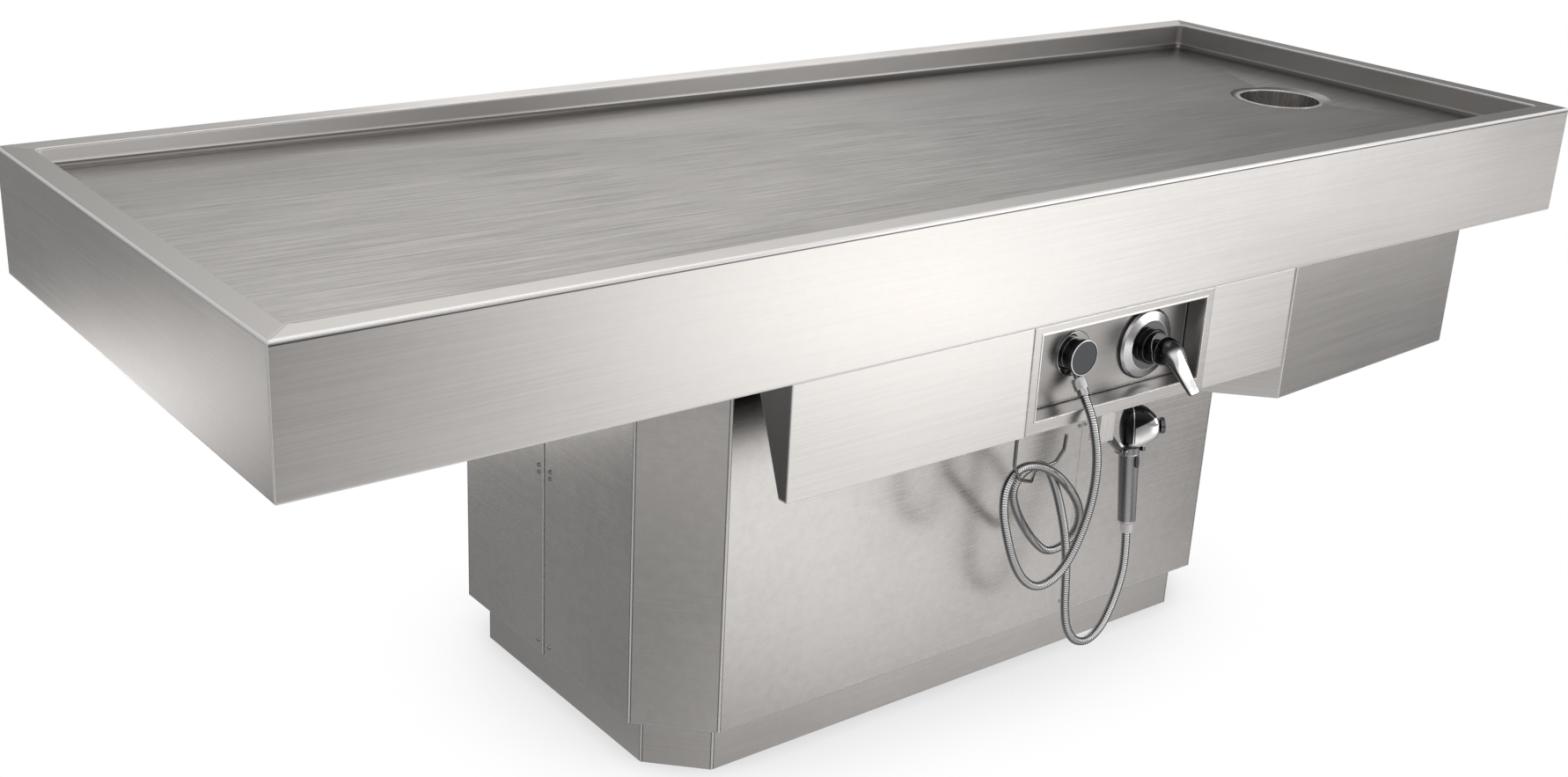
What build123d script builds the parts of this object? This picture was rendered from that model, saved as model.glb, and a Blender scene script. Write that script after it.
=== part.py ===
from build123d import *
import math
import os

# Fixed-height autopsy table with a sunk, drained tray, a service housing with
# mixer, hose outlet and hand shower, and a drain housing under the foot end.
# Millimetres. X runs from head to foot, the service side faces -Y, Z is up.
# The origin is the middle of the base on the floor.

os.makedirs("parts", exist_ok=True)

overrun = 5                 # how far cuts run past a face
seam = 0.6                  # gap between two neighbouring panels
rest_gap = 0.3              # gap where a loose or moving piece rests

# Table top
table_length = 2600
table_width = 975
table_height = 905
fascia_height = 200
rim_width = 42
top_sheet = 2
rim_bend = 4
corner_ease = 2.5
rim_ease = 1.4
return_width = 25
return_lip = 12

# Tray
head_depth = 32
foot_depth = 52
drain_depth = 60
seat_step = 1
tray_cove = 12
drain_inset = 237           # foot end of the table to the drain's axis
seat_radius = 90
seat_rise = 6
seat_angle = 20

# Drain pot and waste
pot_bore = 79
pot_wall = 1.5
pot_lip = 7
pot_fit = 0.5
pot_depth = 112
grid_ledge = 17
grid_clear = 1
cup_depth = 12
neck_length = 16
pot_height = 156
grid_thickness = 2
grid_hole = 4
grid_rows = 3
grid_row_holes = 8
knob_radius = 7
knob_height = 12
waste_radius = 25
waste_wall = 2
waste_bend = 50
waste_level = 630
trap_level = 545
waste_drop_x = 300
union_radius = 33
union_flats = 8
union_height = 24

# Frame under the tray
pedestal_top = 722
top_plate = 8
rail_height = 70
rail_width = 50
rail_wall = 3
rail_spread = 300
rail_end = 130
bearer_thickness = 5
bearer_shares = (-0.885, -0.562, -0.238, 0.085, 0.408, 0.723, 0.915)
slot_length = 90
slot_height = 20
slot_count = 6
slot_pitch = 130
slot_level = 22
hanger_width = 25
hanger_wall = 2
hanger_reach = 455
hanger_places = (700, 930)

# Pedestal
pedestal_length = 1280
pedestal_width = 705
pedestal_shift = -15
pedestal_chamfer = 100
cover_sheet = 1.5
cover_flange = 20
plinth_inset = 33
plinth_height = 88
access_seam = 190
base_plate = 10
post_size = 80
post_wall = 4
post_inset_x = 190
post_inset_y = 105
strip_width = 76
strip_thickness = 2
anchor_hole = 7
anchor_spread_x = 1090
anchor_spread_y = 360
screw_low = 21              # lowest cover screws above the plinth
screw_high = 60             # highest cover screws below the covers' top
screw_middle = 55           # middle pair above half the covers' height
screw_pair = 12
screw_side = 17             # cover screws either side of an end seam
front_screw_middle = 81
front_screw_side = 7

# Service housing under the front fascia
face_inset = 3              # housing faces stand this far behind the fascia
panel_sheet = 1.5
panel_bend = 2.5
apron_left = -552
apron_right = 531
apron_drop = 179.5
apron_foot = 19
apron_top = 85
niche_left = -88
niche_right = 323
niche_drop = 178
niche_proud = 1
bar_left = 19
bar_right = 17
bar_top = 15
bar_bottom = 22
niche_depth = 37.5
niche_return = 12
back_margin = 2.5
back_flange = 14
service_depth = 128
service_inset = 4
oblique_clear = 1

# Drain housing
housing_left = 538
housing_bend = 1070          # where the long front face ends
housing_corner = 90          # legs of the slanted corner panels at the foot end
housing_level = 466
housing_taper = 4
housing_hem = 18

# Hose outlet
outlet_x = 40.5
outlet_level = 630
outlet_ring = 38
outlet_ring_depth = 4
outlet_barrel = 27
outlet_barrel_depth = 15
outlet_knob = 29.5
outlet_knob_depth = 8
outlet_bezel = 2.2
outlet_face_sink = 0.8
stem_radius = 5
stem_length = 5
stem_fit = 0.05
outlet_tail = 11
outlet_tail_length = 34
spout_lean = 37
spout_radius = 5.5
spout_length = 14
hose_nut_across = 22
hose_nut_length = 18
sleeve_radius = 9.5
sleeve_length = 10

# Mixer
mixer_x = 208
mixer_level = 617
plate_radius = 60
plate_rim = 4
plate_edge = 4
plate_rise = 13
plate_step = 42
sleeve_mixer = 30
sleeve_mixer_length = 12
body_radius = 28
body_length = 52
port_radius = 12
port_reach = 42
cartridge_radius = 17
cartridge_length = 40
post_radius = 8
post_length = 12
hub_radius = 25
hub_length = 16
ball_radius = 15
pivot_reach = 24
lever_tilt = 25
hood_radius = 25
hood_gap = 0.5
hood_back = 2
pin_radius = 2.5
pin_inset = 3
lever_drop = 59
lever_reach = 64
lever_root = 13
lever_root_width = 42
lever_root_thick = 30
lever_mid_share = 0.36
lever_mid_width = 34
lever_mid_thick = 18
lever_tip_width = 21
lever_tip_thick = 9
tilt_slack = 1
hood_wall = 3

# Pipes
pipe_radius = 7.5
pipe_wall = 1
pipe_bend = 24
pipe_spread = 62
pipe_row = -200
pipe_hole_clear = 2.5
pipe_clip = 15

# Hand shower and its holder
shower_x = 205
shower_y = -460
shower_foot = 301
shower_tilt = 6.05
handle_length = 133
handle_foot_radius = 15.3
handle_top_radius = 17.5
handle_ease = 2
head_turn = -29.5
head_height = 74
head_shoulder = 46
head_crown_back = 7
head_crown_front = 23
head_reach = 52
head_nose = 34
head_back = 17
head_width = 37
head_round = 26
head_edge = 15
head_drop = 14
spray_radius = 14
spray_depth = 4
spray_hole = 1.2
spray_ring = 8
spray_count = 8
knob_side_radius = 6
knob_side_length = 9
button_width = 9
button_length = 20
button_travel = 2
button_proud = 2.4
button_fit = 0.2
button_depth = 4
button_drop = 13
collar_radius = 11
collar_length = 18
fork_height = 9
fork_wall = 6
fork_fit = 0.5
fork_reach = 15
fork_round = 2.5
holder_x = 150
holder_width = 34
holder_depth = 22
holder_drop = 66
holder_arm_height = 15
holder_arm_depth = 14

# Hose hook, middle line of a bent rod
hook_radius = 3
hook_bend = 12
hook_route = [
    (-97, -478, 478),
    (-82, -478, 451),
    (-42, -465, 434),
    (0, -431, 430),
    (50, -428, 433),
    (67, -428, 452),
    (69, -428, 478),
]

# Hose: the middle line from the outlet sleeve to the shower's collar
hose_radius = 7.5
hose_bore = 5
gap_steps = 420
bend_share = 0.45
hose_route = [
    (40.5, -481.5, 570),
    (40.5, -501.96, 542.85),
    (42, -513, 512),
    (46, -519, 475),
    (46, -521, 430),
    (40, -520, 383),
    (28, -516, 336),
    (13, -511, 297),
    (-9, -506, 270),
    (-41, -501, 261),
    (-70, -496, 279),
    (-92, -491, 316),
    (-106, -486, 361),
    (-112, -477, 405),
    (-100, -467, 441),
    (-70, -462, 463),
    (-30, -464, 460),
    (12, -464, 437),
    (48, -461, 405),
    (80, -454, 370),
    (104, -444, 337),
    (115, -434, 305),
    (111, -425, 279),
    (91, -417, 262),
    (65, -413, 262),
    (42, -412, 281),
    (14, -416, 310),
    (-16, -425, 344),
    (-42, -433, 380),
    (-56, -439, 411),
    (-47, -443, 437),
    (-23, -445, 450),
    (4, -446, 446),
    (22, -447, 425),
    (36, -450, 393),
    (46, -455, 358),
    (53, -462, 320),
    (58, -467, 275),
    (60, -470, 227),
    (63, -471, 180),
    (72, -472, 141),
    (94, -472, 111),
    (127, -472, 101),
    (157, -472, 117),
    (179, -471, 151),
    (195, -470, 193),
    (205, -467.1, 234.2),
    (205, -462.9, 274),
]

# Screws
screw_head = 4
screw_head_height = 2
screw_shank = 2
screw_length = 5
screw_clear = 0.2

# Places worked out from the sizes above
half_length = table_length / 2
half_width = table_width / 2
tray_x = half_length - rim_width
tray_y = half_width - rim_width
drain_x = half_length - drain_inset
drain_level = table_height - drain_depth
fascia_level = table_height - fascia_height
rail_level = pedestal_top + top_plate
rail_top = rail_level + rail_height
pedestal_head = pedestal_shift - pedestal_length / 2
pedestal_foot = pedestal_shift + pedestal_length / 2
pedestal_front = -pedestal_width / 2
face_y = face_inset - half_width
niche_face = face_y - niche_proud
niche_back_y = face_y + niche_depth
niche_level = fascia_level - niche_drop
apron_level = fascia_level - apron_drop
service_back = face_y + service_depth
plate_face = niche_back_y - plate_rise
sleeve_face = plate_face - sleeve_mixer_length
pivot_y = sleeve_face - pivot_reach
hub_face = sleeve_face - rest_gap - hub_length
outlet_face = niche_back_y - outlet_ring_depth
barrel_face = outlet_face - outlet_barrel_depth
pipe_axis_y = niche_back_y + body_length - pipe_bend
shower_frame = Plane(origin=(shower_x, shower_y, shower_foot), x_dir=(1, 0, 0),
                     z_dir=(0, math.sin(math.radians(shower_tilt)), math.cos(math.radians(shower_tilt))))


def block(x, y, z):
    # a box between a low and a high place on each axis
    size = [high - low for low, high in (x, y, z)]
    middle = [(high + low) / 2 for low, high in (x, y, z)]
    return Pos(*middle) * Box(*size)


def bar(start, end, radius):
    # a round bar from one point to another
    start, end = Vector(*start), Vector(*end)
    along = end - start
    return extrude(Plane(origin=start, z_dir=along) * Circle(radius), amount=along.length)


def faced(face, radius, depth, x, z):
    # a disc standing forward, towards -Y, from a face
    return bar((x, face, z), (x, face - depth, z), radius)


def ball(radius, x, y, z):
    # a ball whose poles lie on an axis along X
    return Pos(x, y, z) * Rot(0, 90, 0) * Sphere(radius)


def group(solids):
    return Compound(children=list(solids))


def save(name, shape):
    export_step(shape, "parts/" + name + ".step")


# Table top

def floor_height(x):
    # height of the foot of the tray's long walls at a place along the table
    slope = (foot_depth - head_depth) / (2 * tray_x)
    return table_height - head_depth - slope * (x + tray_x)


def fall_form(grow):
    # the four facets that fall from the wall feet to the drain
    x = tray_x - tray_cove
    y = tray_y - tray_cove
    corners = ((-x, -y), (x, -y), (x, y), (-x, y))
    rim = [Vector(cx, cy, floor_height(cx) - grow) for cx, cy in corners]
    lid = [point + Vector(0, 0, tray_cove) for point in rim]
    low = Vector(drain_x, 0, drain_level + seat_step - grow)
    faces = [Face(Wire.make_polygon(lid, close=True))]
    for i in range(len(rim)):
        j = (i + 1) % len(rim)
        faces.append(Face(Wire.make_polygon([rim[i], rim[j], lid[j], lid[i]], close=True)))
        faces.append(Face(Wire.make_polygon([rim[i], rim[j], low], close=True)))
    return Solid(Shell(faces))


def tray_form(grow, top):
    # the hollow of the tray, or its outside when grown by the sheet
    x = tray_x + grow
    y = tray_y + grow
    head = table_height - head_depth - grow
    foot = table_height - foot_depth - grow
    side = Polyline((-x, top), (-x, head), (x, foot), (x, top), close=True)
    form = extrude(Plane.XZ * make_face(side), amount=y, both=True)
    form = fillet(form.edges().filter_by(Axis.Z), tray_cove + grow)
    form = fillet(form.faces().sort_by(Axis.Z)[0].edges(), tray_cove + grow)
    seat_top = seat_radius + seat_rise / math.tan(math.radians(seat_angle))
    seat = Pos(drain_x, 0, drain_level - grow + seat_rise / 2) * Cone(seat_radius, seat_top, seat_rise)
    return form + fall_form(grow) + seat


tray_hollow = tray_form(0, table_height + overrun)
tray_outside = tray_form(top_sheet, table_height + overrun)


def deck_pan():
    shell = tray_form(top_sheet, table_height - top_sheet) - tray_hollow
    hole = Pos(drain_x, 0, drain_level) * Cylinder(pot_bore + pot_wall + pot_fit, pot_height)
    return shell - hole


def rim_frame():
    # folded rim, fascia and bottom return, all the way round
    def skin(inset, ease):
        form = block((inset - half_length, half_length - inset), (inset - half_width, half_width - inset),
                     (fascia_level + inset, table_height - inset))
        form = fillet(form.edges().filter_by(Axis.Z), corner_ease - inset * corner_ease / rim_bend)
        form = fillet(form.faces().sort_by(Axis.Z)[-1].edges(), ease)
        return fillet(form.faces().sort_by(Axis.Z)[0].edges(), ease)

    def shaft(inset):
        return block((inset - half_length, half_length - inset), (inset - half_width, half_width - inset),
                     (fascia_level - overrun, fascia_level + return_lip))

    frame = skin(0, rim_bend) - skin(top_sheet, rim_bend - top_sheet)
    lip_outer = shaft(return_width - top_sheet)
    lip = (lip_outer - shaft(return_width)) & skin(0, rim_bend)
    frame = frame - shaft(return_width) - tray_hollow + lip
    inner = [edge for edge in frame.edges()
             if abs(edge.center().Z - table_height) < rest_gap
             and abs(edge.center().X) < tray_x + rest_gap
             and abs(edge.center().Y) < tray_y + rest_gap]
    return fillet(inner, rim_ease)


def rim_pieces():
    # the frame cut along its mitres into front, back, head and foot
    frame = rim_frame()
    x = half_length + overrun
    y = half_width + overrun
    ridge = half_length - half_width
    plans = {
        "rim_front": ((-x, -y), (x, -y), (ridge, 0), (-ridge, 0)),
        "rim_back": ((-x, y), (x, y), (ridge, 0), (-ridge, 0)),
        "rim_head": ((-x, -y), (-x, y), (-ridge, 0)),
        "rim_foot": ((x, -y), (x, y), (ridge, 0)),
    }
    height = fascia_height + overrun
    for name, plan in plans.items():
        wedge = extrude(Pos(0, 0, fascia_level) * make_face(Polyline(*plan, close=True)), amount=height)
        save(name, frame & wedge)


# Drain and waste

def drain_pot():
    # pressed pot with a flat lip, a ledge for the grid and a cup below it
    top = drain_level + pot_wall
    ledge = drain_level - pot_depth
    cup = ledge - cup_depth
    low = drain_level - pot_height
    outer = pot_bore + pot_wall
    neck = waste_radius + pot_wall
    cup_bore = pot_bore - grid_ledge
    outline = [
        (pot_bore, top), (pot_bore + pot_lip, top), (pot_bore + pot_lip, drain_level),
        (outer, drain_level), (outer, ledge - pot_wall), (cup_bore + pot_wall, ledge - pot_wall),
        (cup_bore + pot_wall, cup), (neck, low + neck_length), (neck, low),
        (waste_radius, low), (waste_radius, low + neck_length + pot_wall),
        (cup_bore, cup + pot_wall), (cup_bore, ledge), (pot_bore, ledge),
    ]
    pot = revolve(Plane.XZ * make_face(Polyline(*outline, close=True)), Axis.Z)
    lip = [edge for edge in pot.edges() if abs(edge.center().Z - top) < rest_gap]
    return Pos(drain_x, 0, 0) * fillet(lip, pot_wall / 2.2)


def waste_grid():
    ledge = drain_level - pot_depth
    radius = pot_bore - grid_clear
    grid = Pos(0, 0, ledge + grid_thickness / 2) * Cylinder(radius, grid_thickness)
    cup_bore = pot_bore - grid_ledge
    pitch = (cup_bore - grid_hole) / (grid_rows + 1)
    for row in range(grid_rows):
        ring = PolarLocations(pitch * (row + 1.5), grid_row_holes)
        grid -= Pos(0, 0, ledge) * ring * Cylinder(grid_hole, cup_depth)
    knob = Pos(0, 0, ledge + grid_thickness + knob_height / 2) * Cylinder(knob_radius, knob_height)
    knob = fillet(knob.edges().sort_by(Axis.Z)[-1], knob_radius / 3)
    return Pos(drain_x, 0, 0) * (grid + knob)


def tube(path, radius, bore):
    # a round tube along a path of straights and arcs
    start = path ^ 0
    return sweep(start * (Circle(radius) - Circle(bore)), path=path)


def waste_union():
    # ring nut that joins the pot's spigot to the trap
    low = drain_level - pot_height
    nut = Pos(drain_x, 0, low) * Cylinder(union_radius, union_height)
    bore = Pos(drain_x, 0, low) * Cylinder(waste_radius + pot_wall, union_height + overrun)
    flats = Pos(drain_x, 0, low) * extrude(RegularPolygon(union_radius, union_flats),
                                           amount=union_height / 2, both=True)
    return (nut & flats) - bore


def trap_and_waste():
    # water trap below the pot, then the run to the pedestal and down to the floor
    low = drain_level - pot_height
    up_x = drain_x - 2 * waste_bend
    floor = waste_level
    trap_path = FilletPolyline((drain_x, 0, low), (drain_x, 0, trap_level - waste_bend),
                               (up_x, 0, trap_level - waste_bend), (up_x, 0, floor),
                               (up_x - 1.5 * waste_bend, 0, floor), radius=waste_bend - pot_fit)
    run_path = FilletPolyline((waste_drop_x, 0, 0), (waste_drop_x, 0, floor),
                              (up_x - 1.5 * waste_bend, 0, floor), radius=waste_bend)
    outer = waste_radius + pot_wall
    return tube(trap_path, outer, outer - waste_wall), tube(run_path, outer, outer - waste_wall)


# Frame

def bearer(x):
    # cross plate under the tray, cut to the tray's underside
    plate = block((x - bearer_thickness / 2, x + bearer_thickness / 2),
                  (top_sheet - half_width, half_width - top_sheet), (rail_top, floor_height(x)))
    plate -= tray_outside
    slot = Plane.YZ.offset(x) * SlotOverall(slot_length, slot_height)
    cutter = extrude(slot, amount=bearer_thickness, both=True)
    first = -slot_pitch * (slot_count - 1) / 2
    for i in range(slot_count):
        plate -= Pos(0, first + i * slot_pitch, rail_top + slot_level) * cutter
    return plate


def rail(side):
    y = side * rail_spread
    outer = block((rail_end - half_length, half_length - rail_end),
                  (y - rail_width / 2, y + rail_width / 2), (rail_level, rail_top))
    inner = block((-half_length, half_length),
                  (y - rail_width / 2 + rail_wall, y + rail_width / 2 - rail_wall),
                  (rail_level + rail_wall, rail_top - rail_wall))
    return outer - inner


def hanger(x):
    # square tube across the rails that the drain housing is screwed to
    outer = block((x - hanger_width / 2, x + hanger_width / 2), (-hanger_reach, hanger_reach),
                  (fascia_level, rail_level))
    inner = block((x - hanger_width / 2 + hanger_wall, x + hanger_width / 2 - hanger_wall),
                  (-half_width, half_width), (fascia_level + hanger_wall, rail_level - hanger_wall))
    return outer - inner


# Pedestal

def pedestal_plan(inset):
    # outline of the pedestal, moved inwards by the inset
    plan = Pos(pedestal_shift, 0) * Rectangle(pedestal_length, pedestal_width)
    plan = chamfer(plan.vertices(), pedestal_chamfer)
    if inset == 0:
        return plan
    return offset(plan, -inset, kind=Kind.INTERSECTION)


def pedestal_prism(inset, low, high):
    return extrude(Pos(0, 0, low) * pedestal_plan(inset), amount=high - low)


def cover_holes():
    # holes in the covers for the waste pipe and the two supply pipes
    waste = bar((pedestal_foot - pedestal_chamfer, 0, waste_level),
                (pedestal_foot + overrun, 0, waste_level), waste_radius + pot_wall + pipe_hole_clear)
    holes = [waste]
    for side in (-1, 1):
        x = mixer_x + side * pipe_spread
        holes.append(bar((x, pedestal_front + post_size, mixer_level),
                         (x, service_back - overrun, mixer_level), pipe_radius + pipe_hole_clear))
    return holes


def cover_screw_frames():
    # outward-facing frames of the cover screws, either side of the two end seams
    middle = pedestal_top / 2 + screw_middle
    levels = (plinth_height + screw_low, middle - screw_pair / 2, middle + screw_pair / 2,
              pedestal_top - screw_high)
    return [Plane(origin=(x, side * screw_side, z), z_dir=(out, 0, 0))
            for x, out in ((pedestal_head, -1), (pedestal_foot, 1)) for z in levels for side in (1, -1)]


def seam_screw_frames():
    levels = (plinth_height + screw_low, pedestal_top / 2 + front_screw_middle, pedestal_top - screw_high)
    return [Plane(origin=(access_seam + side * front_screw_side, pedestal_front, z), z_dir=(0, -1, 0))
            for z in levels for side in (1, -1)]


def screw(frame):
    # low bevel-headed screw whose head lies on the frame's plane
    head = extrude(frame * Circle(screw_head), amount=screw_head_height)
    head = chamfer(head.faces().sort_by(Axis(frame.origin, frame.z_dir))[-1].edges(), screw_head_height / 2)
    return head + extrude(frame * Circle(screw_shank), amount=-screw_length)


def screw_hole(frame):
    return extrude(frame * Circle(screw_shank + screw_clear), amount=screw_length, both=True)


def cover_shell():
    # folded cover all the way round, with its top flange and its soffit to the plinth
    shell = pedestal_prism(0, plinth_height, pedestal_top)
    shell -= pedestal_prism(cover_sheet, plinth_height + cover_sheet, pedestal_top - cover_sheet)
    shell -= pedestal_prism(plinth_inset, plinth_height - overrun, plinth_height + 2 * overrun)
    shell -= pedestal_prism(cover_flange, pedestal_top - overrun, pedestal_top + overrun)
    for cutter in cover_holes():
        shell -= cutter
    for frame in cover_screw_frames() + seam_screw_frames():
        shell -= screw_hole(frame)
    return shell


def pedestal_covers():
    shell = cover_shell()
    low, high = plinth_height - overrun, pedestal_top + overrun
    left = pedestal_head - overrun
    right = pedestal_foot + overrun
    front = pedestal_front - overrun
    save("pedestal_cover_back", shell & block((left, right), (seam / 2, -front), (low, high)))
    save("pedestal_cover_front",
         shell & block((left, access_seam - seam / 2), (front, -seam / 2), (low, high)))
    save("pedestal_cover_access",
         shell & block((access_seam + seam / 2, right), (front, -seam / 2), (low, high)))


def seam_strips():
    # upright strips behind the seams, which the covers are screwed to
    half = strip_width / 2
    low, high = plinth_height + cover_sheet, pedestal_top - cover_sheet
    inner = cover_sheet
    strips = [
        block((pedestal_head + inner, pedestal_head + inner + strip_thickness), (-half, half), (low, high)),
        block((pedestal_foot - inner - strip_thickness, pedestal_foot - inner), (-half, half), (low, high)),
        block((access_seam - half, access_seam + half),
              (pedestal_front + inner, pedestal_front + inner + strip_thickness), (low, high)),
    ]
    cutters = [screw_hole(frame) for frame in cover_screw_frames() + seam_screw_frames()]
    cutters += cover_holes()
    for cutter in cutters:
        strips = [strip - cutter for strip in strips]
    return group(strips)


def plinth_ring():
    return pedestal_prism(plinth_inset, 0, plinth_height) - pedestal_prism(
        plinth_inset + cover_sheet, -overrun, plinth_height + overrun)


def pipe_places():
    return [(mixer_x + side * pipe_spread, pipe_row) for side in (-1, 1)]


def anchor_places():
    return [(pedestal_shift + sx * anchor_spread_x / 2, sy * anchor_spread_y / 2)
            for sx in (-1, 1) for sy in (-1, 1)]


def base():
    # floor plate with holes for the anchors and the three pipes
    plate = pedestal_prism(plinth_inset + cover_sheet, 0, base_plate)
    for x, y in anchor_places():
        plate -= Pos(x, y, 0) * Cylinder(anchor_hole, base_plate * 3)
    for x, y in pipe_places():
        plate -= Pos(x, y, 0) * Cylinder(pipe_radius + pipe_hole_clear, base_plate * 3)
    outlet = waste_radius + pot_wall + pipe_hole_clear
    return plate - Pos(waste_drop_x, 0, 0) * Cylinder(outlet, base_plate * 3)


def post(side_x, side_y):
    x = pedestal_shift + side_x * (pedestal_length / 2 - post_inset_x)
    y = side_y * (pedestal_width / 2 - post_inset_y)
    half = post_size / 2
    inner = half - post_wall
    outer = block((x - half, x + half), (y - half, y + half), (base_plate, pedestal_top))
    return outer - block((x - inner, x + inner), (y - inner, y + inner), (0, pedestal_top + overrun))


def top_plate_piece():
    plate = pedestal_prism(0, pedestal_top, rail_level)
    window_x = pedestal_length / 2 - post_inset_x - post_size
    window_y = pedestal_width / 2 - post_inset_y - post_size
    opening = RectangleRounded(2 * window_x, 2 * window_y, post_size / 2)
    window = extrude(Pos(pedestal_shift, 0, pedestal_top - overrun) * opening, amount=top_plate + 2 * overrun)
    return plate - window


# Drain housing

def housing_plan(grow):
    # plan of the housing, symmetric about the table's middle line
    slope = math.tan(math.radians(housing_taper))
    front = face_y
    run = pedestal_front - front
    bend_y = front + (housing_bend - housing_left) * slope
    half = [(housing_left - run, pedestal_front), (housing_left, front), (housing_bend, bend_y),
            (housing_bend + housing_corner, bend_y + housing_corner)]
    other = [(x, -y) for x, y in reversed(half)]
    plan = make_face(Polyline(*half, *other, close=True))
    return plan if grow == 0 else offset(plan, grow, kind=Kind.INTERSECTION)


def housing_prism(grow, low, high):
    return extrude(Pos(0, 0, low) * housing_plan(grow), amount=high - low)


def drain_housing():
    body = housing_prism(0, housing_level, fascia_level)
    body = fillet(body.edges().filter_by(Axis.Z), panel_bend)
    body -= housing_prism(-panel_sheet, housing_level + panel_sheet, fascia_level - panel_sheet)
    body -= housing_prism(-housing_hem, housing_level - overrun, fascia_level + overrun)
    return body - pedestal_prism(-rest_gap, housing_level - overrun, fascia_level + overrun)


def drain_housing_floor():
    # screwed up against the housing's lower hem
    plate = housing_prism(-panel_sheet, housing_level - panel_sheet, housing_level)
    return plate - pedestal_prism(-rest_gap, housing_level - 2 * overrun, housing_level + overrun)


# Service housing

def apron_sheet(left, right):
    # front panel with its lower hem and its top flange, folded from one sheet
    low, high = apron_level, fascia_level
    panel = block((left, right), (face_y, face_y + return_width), (low, high))
    panel -= block((left - overrun, right + overrun), (face_y + panel_sheet, face_y + 2 * return_width),
                   (low + panel_sheet, high - panel_sheet))
    panel -= block((left - overrun, right + overrun), (face_y + apron_foot, face_y + 2 * return_width),
                   (low - overrun, low + overrun))
    edge = panel.edges().filter_by(Axis.X).sort_by(Axis.Z)[:4].sort_by(Axis.Y)[0]
    return fillet(edge, panel_bend / 2)


def apron_back(left, right):
    # sloping sheet that closes the housing behind
    low = apron_level + panel_sheet
    high = fascia_level
    y_low, y_high = face_y + apron_foot, face_y + apron_top
    section = Polyline((y_low, low), (y_high, high), (y_high - panel_sheet, high), (y_low - panel_sheet, low),
                       close=True)
    return extrude(Plane.YZ.offset(left) * make_face(section), amount=right - left)


def apron_end():
    # wedge-shaped end plate, inside the folded front panel
    low = apron_level + panel_sheet
    high = fascia_level - panel_sheet
    y_front = face_y + panel_sheet
    section = Polyline((y_front, low), (face_y + apron_foot, low), (face_y + apron_top, high),
                       (y_front, high), close=True)
    return extrude(Plane.YZ.offset(apron_left) * make_face(section), amount=panel_sheet)


def apron_pieces():
    left_end = niche_left - seam
    right_start = niche_right + seam
    cut = housing_prism(oblique_clear, housing_level, fascia_level + overrun)
    save("apron_panel_left", apron_sheet(apron_left, left_end))
    save("apron_panel_right", apron_sheet(right_start, apron_right) - cut)
    save("apron_end_plate", apron_end())
    side_left = niche_left + service_inset
    side_right = niche_right - service_inset
    save("apron_back_left", apron_back(apron_left + panel_sheet, side_left))
    save("apron_back_right", apron_back(side_right, apron_right) - cut)


def niche_opening(grow, front, back):
    return block((niche_left + bar_left - grow, niche_right - bar_right + grow), (front, back),
                 (niche_level + bar_bottom - grow, fascia_level - bar_top + grow))


def niche_frame():
    # mitred frame bars with folded edges
    low, high = niche_level, fascia_level
    frame = block((niche_left, niche_right), (niche_face, niche_face + niche_return), (low, high))
    front = frame.faces().sort_by(Axis.Y)[0]
    frame = chamfer(front.edges(), niche_proud)
    frame -= block((niche_left + panel_sheet, niche_right - panel_sheet),
                   (niche_face + panel_sheet, niche_face + 2 * niche_return),
                   (low + panel_sheet, high - panel_sheet))
    return frame - niche_opening(0, niche_face - overrun, niche_back_y)


def niche_tray():
    # walls of the recess with a narrow flange behind, which the back plate rests on
    start = niche_face + panel_sheet
    end = niche_back_y + 2 * panel_sheet
    tray = niche_opening(panel_sheet, start, end)
    tray -= niche_opening(0, start - overrun, end - panel_sheet)
    tray -= niche_opening(-back_flange, start, end + overrun)
    for frame in back_screw_frames():
        tray -= screw_hole(frame)
    return tray


def back_screw_frames():
    x0, x1 = niche_left + bar_left, niche_right - bar_right
    z0, z1 = niche_level + bar_bottom, fascia_level - bar_top
    inset = 2 * screw_head + back_margin
    return [Plane(origin=(x, niche_back_y, z), z_dir=(0, -1, 0))
            for x in (x0 + inset, x1 - inset) for z in (z0 + inset, z1 - inset)]


def niche_back():
    # removable back plate that carries the outlet and the mixer
    plate = niche_opening(-back_margin, niche_back_y, niche_back_y + panel_sheet)
    plate -= faced(niche_back_y + overrun, body_radius, 2 * overrun, mixer_x, mixer_level)
    plate -= faced(niche_back_y + overrun, outlet_tail, 2 * overrun, outlet_x, outlet_level)
    for frame in back_screw_frames():
        plate -= screw_hole(frame)
    return plate


def service_cover():
    # deep cover behind the niche, round the valve and its pipes
    start = niche_face + panel_sheet
    low, high = niche_level + service_inset, fascia_level
    left, right = niche_left + service_inset, niche_right - service_inset
    cover = block((left, right), (start, service_back), (low, high))
    cover -= block((left + panel_sheet, right - panel_sheet), (start - overrun, service_back - panel_sheet),
                   (low + panel_sheet, high - panel_sheet))
    cover -= block((left - overrun, right + overrun), (start - overrun, niche_face + niche_return),
                   (high - panel_sheet - overrun, high + overrun))
    for cutter in cover_holes():
        cover -= cutter
    return cover


# Hose outlet

def spout_direction():
    lean = math.radians(spout_lean)
    return Vector(0, -math.sin(lean), -math.cos(lean))


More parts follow.
